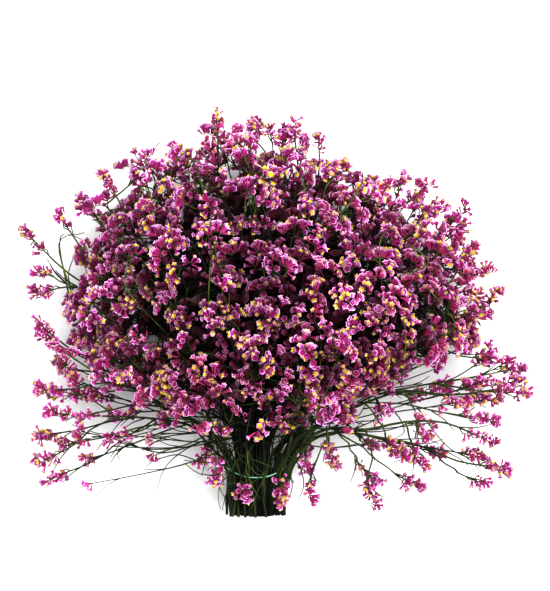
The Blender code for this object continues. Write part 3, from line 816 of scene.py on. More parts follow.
def grow_fan(spray, fan, start, heading, fan_tint, flowering, draw):
    """One comb of florets, and the twig that carries it from its fork."""
    facing, inner = fan.facing, fan.layer == UNDER
    along, across = fan_frame(facing, draw)
    if (start - fan.place) @ along > 0:
        along, across = -along, -across
    count = draw.integers(*LAYER_FLORETS[fan.layer])
    size = draw.uniform(*FLORET_SIZE) * LAYER_SIZES[fan.layer]
    origin = fan.place - facing * (FLORET_LENGTH * size + FAN_ARCH)
    origin[2] = max(origin[2], COMB_RADIUS + 2 * FLOOR_CLEARANCE)
    share = np.linspace(0, 1, count)
    arch = FAN_ARCH * (1 - (2 * share - 1) ** 2)
    comb = origin + along * ((share - 0.5) * FLORET_PITCH * count)[:, None] + facing * arch[:, None]
    twig = curved_twig(start, heading, comb[0], unit(along + FAN_ARRIVAL * facing), FAN_HANDLES,
                       LAYER_TWIG_NODES[fan.layer])
    spray.add_tube(np.vstack((twig, comb[count // 2], comb[-1])), *FAN_TWIG_RADIUS, fan_tint)
    low, high = np.radians(FAN_OPENING)
    for k in range(count):
        lean = low + (high - low) * share[k]
        tilt = math.radians(FAN_ROW_TILT) * (1 if k % 2 else -1) * draw.uniform(*ROW_TILT_WOBBLE)
        pointing = (math.cos(lean) * facing + math.sin(lean) * along) * math.cos(tilt)
        pointing = pointing + across * math.sin(tilt) + draw.normal(0, FLORET_WOBBLE, 3)
        kind = pick_kind(draw, flowering, inner)
        grown = size * draw.uniform(*FLORET_GROWTH)
        tint = varied(fan_tint, FLORET_TINT_WOBBLE, draw) * (DEEP_TINT if inner else 1)
        shade = fan.shade * draw.uniform(*SHADE_WOBBLE)
        spray.add_floret(comb[k], pointing, grown, draw.uniform(0, 2 * math.pi), tint, shade, kind)


def pick_kind(draw, flowering, inner):
    """The kind of one floret, by the share of them that is in flower."""
    chance = draw.random()
    if inner:
        return "inner"
    if chance < flowering:
        return "flower"
    shares = np.array(list(PLAIN_KINDS.values()))
    return list(PLAIN_KINDS)[draw.choice(len(PLAIN_KINDS), p=shares / shares.sum())]


def pick_flowering(draw):
    """The share of a fan's florets that is in flower."""
    return FLOWERING_SHARES[draw.integers(len(FLOWERING_SHARES))]


def grow_sprays(draw):
    """The parts of every spray, and the middle line of the tie."""
    centres, radii, dome_count = place_heads(np.random.default_rng(SEED))
    limbs, slots = grow_limbs(centres, radii)
    ring = tie_ring(TIE_POINTS, slots)
    bend_clear(limbs, centres, radii, ring)
    ease_corners(limbs)
    fans = place_fans(centres, radii, limbs, dome_count, draw)
    sprays = [SprayParts() for _ in range(STEM_COUNT)]
    for spray_number, spray in enumerate(sprays):
        own = [limb for limb in limbs if limb["spray"] == spray_number]
        grow_strands(spray, own, draw)
        for limb in own:
            held = [fan for fan in fans if fan.head == limb["head"]]
            if limb["head"] < dome_count:
                grow_head(spray, limb, [fan for fan in held if fan.layer != DEEP], draw)
                grow_deep_combs(spray, limb, [fan for fan in held if fan.layer == DEEP], draw)
            else:
                grow_sprig(spray, held, draw)
    grow_bare_twigs(sprays, draw)
    grow_side_sprigs(sprays, draw)
    grow_thin_stems(sprays, draw)
    grow_dome_stalks(sprays, centres[:dome_count], radii[:dome_count], draw)
    bundle_reach = np.linalg.norm(slots, axis=1).max() + STEM_RADIUS[0]
    grow_tendrils(sprays, bundle_reach, draw)
    grow_crossing_stems(sprays, bundle_reach, draw)
    return sprays, ring


def ease_corners(limbs):
    """Round off the sharp corners of the limbs, with both ends kept."""
    for limb in limbs:
        path = limb["path"] = np.array(limb["path"], float)
        for _ in range(CORNER_PASSES):
            turn = (unit(path[1:-1] - path[:-2]) * unit(path[2:] - path[1:-1])).sum(1)
            rounder = 0.5 * path[1:-1] + 0.25 * (path[:-2] + path[2:])
            path[1:-1] = np.where((turn < CORNER_COSINE)[:, None], rounder, path[1:-1])


def grow_strands(spray, own, draw):
    """The spray's stem with its forks to the heads, and a few bare stalks that end in the funnel."""
    stem = own[0]
    main = waved(stem["path"], draw)
    thickness = draw.uniform(*MAIN_STEM_SHARES)
    spray.add_tube(main, MAIN_STEM_RADIUS[0] * thickness, MAIN_STEM_RADIUS[1],
                   draw.random() ** MAIN_TINT_POWER, strand=True)
    grow_strand_twigs(spray, main, draw)
    for limb in own[1:]:
        fork = nearest_node(main, limb["path"][0])
        path = waved(np.vstack((fork, limb["path"][1:])), draw)
        spray.add_tube(path, *FORK_RADIUS, draw.random() * FORK_TINT, strand=True)
        grow_strand_twigs(spray, path, draw)
    for _ in range(EXTRA_STRANDS):
        angle, aside = draw.uniform(0, 2 * math.pi), draw.uniform(*EXTRA_ASIDE)
        offset = np.array((math.cos(angle), 0, math.sin(angle))) * aside
        lower = stem["path"][:draw.integers(*EXTRA_NODES)] + offset
        along = unit(lower[-1] - lower[-2])
        leaving = unit(np.cross(along, draw.normal(0, 1, 3)))
        leaning = along * EXTRA_LEAN[0] + leaving * EXTRA_LEAN[1]
        tip = lower[-1] + leaning * draw.uniform(*EXTRA_REACH)
        path = waved(np.vstack((lower, 0.5 * (lower[-1] + tip) + along * EXTRA_BEND, tip)), draw)
        spray.add_tube(path, EXTRA_RADIUS[0] * draw.uniform(*EXTRA_THICKNESS), EXTRA_RADIUS[1],
                       draw.random())


def waved(path, draw):
    """The path made smooth, with a slow small wave between its ends, as dried stems have."""
    path = smooth_path(path, STRAND_PARTS)
    share = np.linspace(0, 1, len(path))
    wave = np.zeros_like(path)
    for axis in (0, 2):
        turns, phase = draw.uniform(*WAVE_TURNS), draw.uniform(0, 2 * math.pi)
        wave[:, axis] = np.sin(2 * math.pi * turns * share + phase) * np.sin(math.pi * share)
    return path + STRAND_WAVE * wave


def grow_side_twigs(spray, path, first, last, bends, lowest, radius, tint, draw):
    """Short bare forks between two nodes of a path."""
    for _ in range(draw.integers(*SIDE_TWIGS)):
        node = draw.integers(first, last)
        along = unit(path[node + 1] - path[node])
        aside = unit(np.cross(along, draw.normal(0, 1, 3)))
        length = draw.uniform(*SIDE_TWIG_LENGTH)
        bend, tip = (path[node] + length * (ahead * along + out * aside) for ahead, out in bends)
        tip[1] = max(tip[1], lowest)
        spray.add_tube(smooth_path(np.vstack((path[node], bend, tip)), SIDE_TWIG_PARTS), radius,
                       THIN_TIP_RADIUS, draw.random() * tint)


def grow_strand_twigs(spray, path, draw):
    """Side twigs on the outer half of a strand."""
    grow_side_twigs(spray, path, len(path) // 2, len(path) - 2, STRAND_TWIG_BENDS, -math.inf,
                    TWIG_RADIUS[0], 1, draw)


def grow_head(spray, limb, fans, draw):
    """Fork the limb's end into twigs, two or three fans to a fork."""
    foot, axis = limb["path"][-1], limb["axis"]
    if not fans:
        return
    places = np.array([fan.place for fan in fans])
    across = unit(np.cross(axis, FORKS_FROM))
    order = np.argsort(np.arctan2((places - foot) @ across, (places - foot) @ np.cross(axis, across)))
    head_tint = draw.uniform(*HEAD_TINTS) + foot @ VIOLET_TOWARDS
    forks = 1 if len(order) <= 3 else math.ceil(len(order) / FANS_PER_FORK)
    for group in np.array_split(order, forks):
        fork = foot + FORK_AT * (places[group].mean(0) - foot) + draw.normal(0, FORK_WOBBLE, 3)
        heading = unit(fork - foot)
        stalk = curved_twig(foot, axis, fork, heading, FORK_HANDLES, FORK_NODES)
        spray.add_tube(stalk, FORK_RADIUS[1], TWIG_RADIUS[0], head_tint)
        for number in group:
            fan_tint = varied(head_tint, HEAD_TINT_WOBBLE, draw)
            grow_fan(spray, fans[number], fork, heading, fan_tint, pick_flowering(draw), draw)


def grow_deep_combs(spray, limb, fans, draw):
    """Small closed combs inside the dome, each on a twig from the limb; their painted shade keeps them
    near black.
    """
    path = smooth_path(limb["path"], DEEP_PATH_PARTS)
    for fan in fans:
        start = path[max(np.linalg.norm(path - fan.place, axis=1).argmin() - 2, 0)]
        size = draw.uniform(*DEEP_SIZE)
        foot = fan.place - fan.facing * FLORET_LENGTH * size
        rise = DEEP_TWIG_RISE * np.linalg.norm(foot - start) * unit(fan.place - HUB)
        spray.add_tube(np.vstack((start, 0.5 * (start + foot) + rise, foot)), *TWIG_RADIUS, draw.random())
        spray.add_floret(foot, fan.facing, size, draw.uniform(0, 2 * math.pi),
                         DEEP_TINT * draw.random(), fan.shade, "comb")


def grow_side_sprigs(sprays, draw):
    """Flowering sprigs beside the arms and on the rim, each from the nearest stem towards the hub."""
    for tip in np.array(SIDE_SPRIGS_MM) / 1000:
        wanted = tip + unit(HUB - tip) * draw.uniform(*SIDE_SPRIG_LENGTH)
        spray, start = nearest_spray(sprays, wanted)
        bow = sideways_bow(start, tip, np.linalg.norm(tip - start), draw) * SIDE_SPRIG_BOW
        bends = [start + (tip - start) * ahead + bow * share for ahead, share in SIDE_SPRIG_BENDS]
        path = smooth_path(np.vstack((start, *bends, tip)), SIDE_SPRIG_PARTS)
        spray.add_tube(path[::2], FORK_RADIUS[1], TWIG_RADIUS[1], draw.random() * SIDE_SPRIG_TINT)
        grow_sprig(spray, loose_fans(path, 0, draw), draw)


def grow_sprig(spray, fans, draw):
    """The fans of a loose stalk, each on a short twig of its own."""
    head_tint = draw.uniform(*HEAD_TINTS)
    flowering = pick_flowering(draw)
    for fan in fans:
        fan_tint = varied(head_tint, SPRIG_TINT_WOBBLE, draw)
        grow_fan(spray, fan, fan.foot, unit(fan.place - fan.foot), fan_tint, flowering, draw)


def grow_thin_stems(sprays, draw):
    """Fine forked stems that leave the bundle between the sprigs, mostly to both sides."""
    for _ in range(THIN_STEMS):
        angle = math.radians(draw.uniform(*THIN_STEM_ANGLES)) * draw.choice((-1, 1))
        direction = np.array((math.sin(angle), math.cos(angle), draw.normal(0, THIN_STEM_RISE)))
        start = (HUB + unit(direction) * draw.uniform(*THIN_STEM_START)
                 + draw.normal(0, THIN_STEM_SCATTER, 3))
        spray, start = nearest_spray(sprays, start)
        length = draw.uniform(*THIN_STEM_LENGTH)
        tip = start + unit(direction + draw.normal(0, THIN_STEM_WOBBLE, 3)) * length
        tip[0] = np.clip(tip[0], -THIN_STEM_REACH, THIN_STEM_REACH)
        tip[1] = max(tip[1], THIN_STEM_LOWEST)
        bow = sideways_bow(start, tip, length, draw) * THIN_STEM_BOW
        third = start + (tip - start) / 3 + bow * draw.uniform(*THIN_STEM_BENDS[0])
        later = start + (tip - start) * THIN_STEM_LATER + bow * draw.uniform(*THIN_STEM_BENDS[1])
        path = smooth_path(np.vstack((start, third, later, tip)), THIN_STEM_PARTS)
        spray.add_tube(path, TWIG_RADIUS[0], THIN_RADIUS, draw.random() * THIN_STEM_TINT)
        if draw.random() < FLOWERING_THIN_STEMS:
            heading = unit(path[-1] - path[-2])
            facing = unit(heading + draw.normal(0, TIP_FAN_WOBBLE, 3))
            tint, shade = draw.random(), draw.uniform(*SHADE_WOBBLE)
            fan = Fan(0, tip + heading * TIP_FAN_AHEAD, facing, LOOSE, tip, shade)
            grow_fan(spray, fan, tip, heading, tint, FLOWERING_SHARES[1], draw)
        grow_side_twigs(spray, path, 4, len(path) - 1, THIN_TWIG_BENDS, THIN_STEM_LOWEST,
                        THIN_RADIUS, THIN_TWIG_TINT, draw)


def grow_dome_stalks(sprays, centres, radii, draw):
    """Bare green stalks that come up between the heads and run a little way over the flowers."""
    for _ in range(DOME_STALKS):
        directions = [unit(draw.normal(0, 1, 3))]
        step = DOME_STALK_STEP * unit(directions[0] - unit(HUB - DOME_CENTRE))
        for _ in range(2):
            directions.append(unit(directions[-1] - step + draw.normal(0, DOME_STALK_WOBBLE, 3)))
        out, _ = cover(np.array(directions), centres, radii)
        if out.min() == 0:
            continue
        nodes = DOME_CENTRE + np.array(directions) * (out + DOME_STALK_DEPTHS)[:, None]
        spray, path = joined_path(sprays, nodes[::-1], 0, WANDER_PARTS)
        spray.add_tube(path, *DOME_STALK_RADIUS, draw.uniform(*DOME_STALK_TINTS))


def grow_bare_twigs(sprays, draw):
    """Twigs without flowers, each from the nearest strand."""
    for nodes in BARE_TWIGS_MM:
        spray, path = joined_path(sprays, np.array(nodes) / 1000, 0, THIN_STEM_PARTS)
        spray.add_tube(path, TWIG_RADIUS[0], THIN_TIP_RADIUS, draw.random())


def grow_tendrils(sprays, bundle_reach, draw):
    """Thin curly stalks that wander over the bundle between the tie and the heads."""
    for _ in range(TENDRILS):
        turn = draw.uniform(0, 2 * math.pi)
        height = draw.uniform(*TENDRIL_HEIGHTS)
        wander = draw.uniform(-TENDRIL_TURN, TENDRIL_TURN)
        climb = draw.uniform(*TENDRIL_CLIMB)
        loose = draw.uniform(0, TENDRIL_LOOSE)
        nodes = []
        for share in WANDER_SHARES:
            angle = turn + wander * share + draw.normal(0, TENDRIL_WOBBLE)
            y = max(height + climb * share, TENDRIL_LOWEST)
            flare = max(0, y - TIE_Y - TENDRIL_FLARE_ABOVE) * TENDRIL_FLARE
            reach = bundle_reach + TENDRIL_CLEAR + flare + loose * math.sin(math.pi * share)
            nodes.append(round_hub(reach, angle, y))
        spray, path = joined_path(sprays, np.array(nodes), 0, WANDER_PARTS)
        thickness = THIN_RADIUS * draw.uniform(*TENDRIL_THICKNESS)
        spray.add_tube(path, thickness, thickness * TENDRIL_TAPER, draw.uniform(*TENDRIL_TINTS))


def grow_crossing_stems(sprays, bundle_reach, draw):
    """Thin cut stems that lean across the outside of the bundle and join a spray in the funnel."""
    for _ in range(CROSSING_STEMS):
        turn = draw.uniform(0, 2 * math.pi)
        lean = draw.uniform(*CROSSING_TURN) * draw.choice((-1, 1))
        top = draw.uniform(*CROSSING_TOP)
        nodes = []
        for share in WANDER_SHARES:
            angle = turn + lean * share + draw.normal(0, CROSSING_WOBBLE)
            y = CUT_Y + share * (top - CUT_Y)
            flare = max(0, y - TIE_Y) * TENDRIL_FLARE
            reach = bundle_reach - draw.uniform(*CROSSING_SUNK) + flare * CROSSING_FLARE
            nodes.append(round_hub(reach, angle, y))
        spray, path = joined_path(sprays, np.array(nodes), -1, WANDER_PARTS)
        spray.add_tube(path, *CROSSING_RADIUS, draw.uniform(*CROSSING_TINTS))


# Shapes of the florets: rows of radius, height, place from base to mouth and inwards, points, lobing
CALYX_FOOT = ((0, 0, 0, 1, 0), (0.60, 1.2, 0.14, 5, 0))
WIDE_CALYX = CALYX_FOOT + ((0.92, 4.9, 0.64, 5, 0), (2.15, 7.3, 1.00, 10, 0.13),
                           (0.82, 5.3, 1.60, 5, 0), (0, 4.6, 2, 1, 0))
ROUND_CALYX = CALYX_FOOT + ((0.86, 4.7, 0.62, 5, 0), (1.75, 7.1, 1.00, 10, 0.07),
                            (0.80, 5.6, 1.50, 5, 0), (0, 4.8, 2, 1, 0))
SHUT_CALYX = CALYX_FOOT + ((0.84, 5.2, 0.66, 5, 0), (0, 8.0, 0.97, 1, 0))
CHEAP_CALYX = ((0, 0, 0, 1, 0), (0.75, 3.4, 0.5, 4, 0), (1.95, 7.0, 1.0, 5, 0), (0, 5.0, 1.9, 1, 0))
COROLLA = ((0, 5.8, 0.3, 1, 0), (1.56, 8.0, 1.0, 10, 0.22), (0, 7.0, 2, 1, 0))
DEEP_COMB = ((0, 0, 0, 1, 0), (1.4, 1.2, 0.14, 6, 0), (2.5, 7.2, 1.0, 12, 0.16), (0, 5.2, 1.7, 1, 0))
BUD = ((0, 5.0, 0, 1, 0), (0.74, 7.2, 0.5, 4, 0), (0, 8.9, 1, 1, 0))
FLORET_SHAPES = {
    "wide": {"calyx": WIDE_CALYX}, "round": {"calyx": ROUND_CALYX},
    "flower": {"calyx": WIDE_CALYX, "corolla": COROLLA}, "bud": {"calyx": ROUND_CALYX, "bud": BUD},
    "shut": {"calyx": SHUT_CALYX}, "inner": {"calyx": CHEAP_CALYX}, "comb": {"calyx": DEEP_COMB},
}
STRETCHED_KINDS = {"comb": 2.2}
LOBES = 5
LOBE_RISE = 1.6
FINISHES = ("calyx", "corolla", "bud")


def stitch(bm, ring, other):
    """Triangles between two closed rings of points, which may differ in count."""
    a, b, faces = 0, 0, []
    while a < len(ring) or b < len(other):
        if b == len(other) or (a < len(ring) and (a + 1) / len(ring) <= (b + 1) / len(other)):
            corners = (ring[a % len(ring)], ring[(a + 1) % len(ring)], other[b % len(other)])
            a += 1
        else:
            corners = (ring[a % len(ring)], other[(b + 1) % len(other)], other[b % len(other)])
            b += 1
        if len(set(corners)) == 3:
            faces.append(bm.faces.new(corners))
    return faces


def floret_shape(name, shells, stretch):
    """A floret of a few dozen faces, with its height along and its turn round kept as attributes."""
    bm = bmesh.new()
    along, around = (bm.verts.layers.float.new(layer) for layer in ("along", "around"))
    marks = {finish: bm.faces.layers.int.new("is_" + finish) for finish in FINISHES}
    for finish, rows in shells.items():
        previous = None
        for radius, height, place, count, lobing in rows:
            ring = []
            for k in range(count):
                turn = 2 * math.pi * k / count
                wave = math.cos(LOBES * turn)
                reach = radius * (1 + lobing * wave)
                vert = bm.verts.new((reach * math.cos(turn) * stretch / 1000,
                                     reach * math.sin(turn) / 1000,
                                     (height + lobing * LOBE_RISE * wave) / 1000))
                vert[along] = place
                vert[around] = 0.5 + 0.5 * wave
                ring.append(vert)
            if previous is not None:
                for face in stitch(bm, previous, ring):
                    face[marks[finish]] = 1
            previous = ring
    bmesh.ops.recalc_face_normals(bm, faces=bm.faces)
    mesh = bpy.data.meshes.new(name)
    bm.to_mesh(mesh)
    bm.free()
    return bpy.data.objects.new(name, mesh)


def make_floret_shapes():
    """A collection of the floret shapes, in the order of their kinds."""
    shapes = bpy.data.collections.new("floret_shapes")
    for number, kind in enumerate(KIND_NAMES):
        name = "floret_%d_%s" % (number, kind)
        shapes.objects.link(floret_shape(name, FLORET_SHAPES[kind], STRETCHED_KINDS.get(kind, 1)))
    return shapes


# Node trees
def add(tree, kind, inputs, **settings):
    """A node with its settings; an input is linked to a socket, or takes a plain value or colour."""
    node = tree.nodes.new(kind)
    for name, value in settings.items():
        setattr(node, name, value)
    for name, value in inputs.items():
        socket = node.inputs[name]
        if isinstance(value, bpy.types.NodeSocket):
            tree.links.new(value, socket)
        else:
            socket.default_value = (*value, 1) if socket.type == "RGBA" else value
    return node


def named_attribute(tree, name, data_type):
    """The output socket that reads an attribute."""
    node = add(tree, "GeometryNodeInputNamedAttribute", {"Name": name}, data_type=data_type)
    return next(socket for socket in node.outputs if socket.enabled and socket.name == "Attribute")


def start_tree(name, wanted, result):
    """A Geometry Nodes tree with its named inputs and one output."""
    tree = bpy.data.node_groups.new(name, "GeometryNodeTree")
    for title, kind in wanted.items():
        tree.interface.new_socket(name=title, in_out="INPUT", socket_type="NodeSocket" + kind)
    tree.interface.new_socket(name=result, in_out="OUTPUT", socket_type="NodeSocketGeometry")
    return tree, tree.nodes.new("NodeGroupInput").outputs


def tubes_along(tree, paths, sides, radius, flatness, **more):
    """Tubes of one section, which may be flattened, along the edges of a mesh."""
    lines = add(tree, "GeometryNodeMeshToCurve", {"Mesh": paths})
    circle = add(tree, "GeometryNodeCurvePrimitiveCircle", {"Resolution": sides, "Radius": radius},
                 mode="RADIUS")
    squeeze = add(tree, "ShaderNodeCombineXYZ", {"X": 1.0, "Y": flatness, "Z": 1.0})
    section = add(tree, "GeometryNodeTransform",
                  {"Geometry": circle.outputs["Curve"], "Scale": squeeze.outputs[0]})
    return add(tree, "GeometryNodeCurveToMesh",
               {"Curve": lines.outputs[0], "Profile Curve": section.outputs[0], **more}).outputs[0]


def end_tree(tree, geometry, finishes):
    """Make all real, then set the finishes, of which some go only to the faces with a mark."""
    current = add(tree, "GeometryNodeRealizeInstances", {"Geometry": geometry}).outputs[0]
    for finish, mark in finishes:
        chosen = {"Selection": named_attribute(tree, mark, "BOOLEAN")} if mark else {}
        current = add(tree, "GeometryNodeSetMaterial",
                      {"Geometry": current, "Material": finish, **chosen}).outputs[0]
    tree.links.new(current, tree.nodes.new("NodeGroupOutput").inputs[0])
    return tree


def spray_tree():
    """Tubes along the paths and a floret on every loose point, with named inputs."""
    tree, given = start_tree("statice_spray", {
        "Paths and points": "Geometry", "Florets": "Collection", "Strand sides": "Int",
        "Twig sides": "Int", "Tube flatness": "Float", "Stem finish": "Material",
        "Calyx finish": "Material", "Corolla finish": "Material", "Bud finish": "Material"}, "Spray")

    def parted(geometry, mark):
        chosen = named_attribute(tree, mark, "BOOLEAN")
        return add(tree, "GeometryNodeSeparateGeometry", {"Geometry": geometry, "Selection": chosen},
                   domain="POINT").outputs

    joined = add(tree, "GeometryNodeJoinGeometry", {})
    tubes, points = parted(given["Paths and points"], "is_tube")
    for paths, sides in zip(parted(tubes, "is_strand"), ("Strand sides", "Twig sides")):
        thick = named_attribute(tree, "thick", "FLOAT")
        made = tubes_along(tree, paths, given[sides], 1.0, given["Tube flatness"],
                           **{"Scale": thick, "Fill Caps": True})
        tree.links.new(made, joined.inputs[0])
    shapes = add(tree, "GeometryNodeCollectionInfo",
                 {"Collection": given["Florets"], "Separate Children": True, "Reset Children": True})
    facing = add(tree, "FunctionNodeAlignRotationToVector",
                 {"Vector": named_attribute(tree, "facing", "FLOAT_VECTOR")}, axis="Z")
    spin = add(tree, "FunctionNodeAxisAngleToRotation",
               {"Axis": (0, 0, 1), "Angle": named_attribute(tree, "spin", "FLOAT")})
    turned = add(tree, "FunctionNodeRotateRotation",
                 {"Rotation": facing.outputs[0], "Rotate By": spin.outputs[0]}, rotation_space="LOCAL")
    placed = add(tree, "GeometryNodeInstanceOnPoints",
                 {"Points": points, "Instance": shapes.outputs[0], "Pick Instance": True,
                  "Instance Index": named_attribute(tree, "kind", "INT"),
                  "Rotation": turned.outputs[0], "Scale": named_attribute(tree, "size", "FLOAT")})
    tree.links.new(placed.outputs[0], joined.inputs[0])
    marked = [(given[finish.capitalize() + " finish"], "is_" + finish) for finish in FINISHES]
    return end_tree(tree, joined.outputs[0], [(given["Stem finish"], None)] + marked)


def string_tree():
    """Two yarns twisted round a closed middle line."""
    tree, given = start_tree("twisted_string", {
        "Yarn lines": "Geometry", "Yarn radius": "Float", "Yarn sides": "Int",
        "String finish": "Material"}, "String")
    yarns = tubes_along(tree, given["Yarn lines"], given["Yarn sides"], given["Yarn radius"], 1.0)
    return end_tree(tree, yarns, [(given["String finish"], None)])


def place_object(name, data, place=(0, 0, 0)):
    """A new object in the scene, at the origin unless it has a place of its own."""
    item = bpy.data.objects.new(name, data)
    item.location = place
    bpy.context.scene.collection.objects.link(item)
    return item


def line_object(name, points, edges):
    """An object of points and edges only."""
    mesh = bpy.data.meshes.new(name)
    mesh.from_pydata(points, edges, [])
    return place_object(name, mesh)


POINT_VALUES = {"is_tube": "BOOLEAN", "is_strand": "BOOLEAN", "thick": "FLOAT", "tint": "FLOAT",
                "shade": "FLOAT", "spin": "FLOAT", "size": "FLOAT", "kind": "INT"}
NUMPY_TYPES = {"BOOLEAN": bool, "FLOAT": np.float32, "INT": np.int32}


def spray_skeleton(name, spray):
    """A mesh of the tubes' paths and, after them, one loose point for each floret."""
    item = line_object(name, spray.points + spray.places, spray.edges)
    for column, (title, kind) in zip(np.array(spray.tubes + spray.florets).T, POINT_VALUES.items()):
        layer = item.data.attributes.new(title, kind, "POINT")
        layer.data.foreach_set("value", column.astype(NUMPY_TYPES[kind]))
    facings = np.vstack((np.zeros((len(spray.points), 3)), spray.facings)).astype(np.float32)
    item.data.attributes.new("facing", "FLOAT_VECTOR", "POINT").data.foreach_set("vector", facings.ravel())
    return item


KEPT_ATTRIBUTES = ("position", "along", "around", "tint", "shade", "material_index", ".corner_vert",
                   ".corner_edge", ".edge_verts", "sharp_face")


def grow_mesh(item, tree, values):
    """Run the node tree with its named inputs, and keep what it makes as the item's plain mesh."""
    modifier = item.modifiers.new("grow", "NODES")
    modifier.node_group = tree
    for socket in tree.interface.items_tree:
        if socket.in_out == "INPUT" and socket.name in values:
            modifier[socket.identifier] = values[socket.name]
    evaluated = item.evaluated_get(bpy.context.evaluated_depsgraph_get())
    mesh = bpy.data.meshes.new_from_object(evaluated)
    item.modifiers.clear()
    skeleton = item.data
    item.data = mesh
    bpy.data.meshes.remove(skeleton)
    for name in [layer.name for layer in mesh.attributes if layer.name not in KEPT_ATTRIBUTES]:
        mesh.attributes.remove(mesh.attributes[name])


def dress_sprays(sprays, finishes):
    """One finished piece for each spray, in place of its solid."""
    tree = spray_tree()
    shapes = make_floret_shapes()
    values = {name.capitalize() + " finish": finish for name, finish in finishes.items()}
    values.update({"Florets": shapes, "Strand sides": STRAND_SIDES, "Twig sides": TWIG_SIDES,
                   "Tube flatness": TUBE_FLATNESS})
    for number, spray in enumerate(sprays):
        item = spray_skeleton("statice_spray_%02d" % (number + 1), spray)
        grow_mesh(item, tree, values)
        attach(item, "root")
        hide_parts("spray_%02d" % (number + 1))
    for shape in list(shapes.objects):
        bpy.data.objects.remove(shape, do_unlink=True)
    bpy.data.collections.remove(shapes)


# Finishes. The height that a floret keeps is 0 at a calyx's foot, 1 at a rim and 2 deep in a throat,
# and half of it is the place on the ramp. A noise scale is the number of patches in a metre.
RAMP_PLACE = 0.5
RIM_PLACE = 0.5
RIM_HALF_WIDTH = 0.035
# RIM_GAIN sets how soon painted shade dims the pale rim of a deep floret
RIM_GAIN = 1.8
TUBE_SPECKS = 900
TUBE_UNEVEN = (0.05, -0.025)
VIOLET_SHARE = 0.8
CRIMSON_BELOW = 0.42
CRIMSON_GAIN = 2.0
CRIMSON_MOST = 0.8
# How far painted shade turns deep florets crimson brown
PAINTED_SHADE_WARMING = 0.9
RIB_POWER = 3.0
RIB_SHARE = 0.45
PALE_ABOVE = 1.05
PALE_GAIN = 1.2
PATCH_SCALE = 14
PATCH_UNEVEN = (0.8, 0.6)
PETAL_PALE_SHARE = 0.4
STREAK_SCALE = (1, 0.3, 1)
STEM_UNEVEN = (1.5, 0.10)


class Finish:
    """A material, with short calls for the nodes that give it its colour and bump."""

    def __init__(self, name, roughness, specular=0.5):
        self.material = bpy.data.materials.new(name)
        self.material.use_nodes = True
        self.tree = self.material.node_tree
        self.shader = self.tree.nodes["Principled BSDF"]
        self.shader.inputs["Roughness"].default_value = roughness
        self.shader.inputs["Specular IOR Level"].default_value = specular

    def attribute(self, name):
        return add(self.tree, "ShaderNodeAttribute", {}, attribute_name=name).outputs["Fac"]

    def number(self, operation, *values):
        return add(self.tree, "ShaderNodeMath", dict(enumerate(values)), operation=operation).outputs[0]

    def times(self, first, second):
        return self.number("MULTIPLY", first, second)

    def noise(self, scale, detail=3.0, roughness=0.55, vector=None):
        vector = vector or add(self.tree, "ShaderNodeTexCoord", {}).outputs["Object"]
        return add(self.tree, "ShaderNodeTexNoise", {"Vector": vector, "Scale": scale, "Detail": detail,
                                                     "Roughness": roughness}).outputs["Fac"]

    def ramp(self, factor, *stops):
        """Colours at places of the factor, each stop as place, red, green and blue."""
        node = add(self.tree, "ShaderNodeValToRGB", {"Fac": factor})
        elements = node.color_ramp.elements
        while len(elements) < len(stops):
            elements.new(0.5)
        for element, (place, *colour) in zip(elements, stops):
            element.position = place
            element.color = (*colour, 1)
        return node.outputs["Color"]

    def blend(self, factor, first, second, mode="MIX"):
        return add(self.tree, "ShaderNodeMix", {0: factor, 6: first, 7: second}, data_type="RGBA",
                   blend_type=mode).outputs[2]

    def shaded(self, colour, patch=1.0):
        """A colour times the shade value, a painted shade that darkens florets and stems where they lie
        deep, with some random tone in it, and made uneven by a patch value.
        """
        shade = self.times(self.attribute("shade"), patch)
        grey = add(self.tree, "ShaderNodeCombineXYZ", {"X": shade, "Y": shade, "Z": shade}).outputs[0]
        return self.blend(1.0, colour, grey, "MULTIPLY")

    def done(self, colour, height=None, strength=0.5, distance=0.001):
        """The material, with its colour and, if it has one, its bump linked to the shader."""
        self.tree.links.new(colour, self.shader.inputs["Base Color"])
        if height:
            bump = add(self.tree, "ShaderNodeBump",
                       {"Height": height, "Strength": strength, "Distance": distance})
            self.tree.links.new(bump.outputs["Normal"], self.shader.inputs["Normal"])
        return self.material


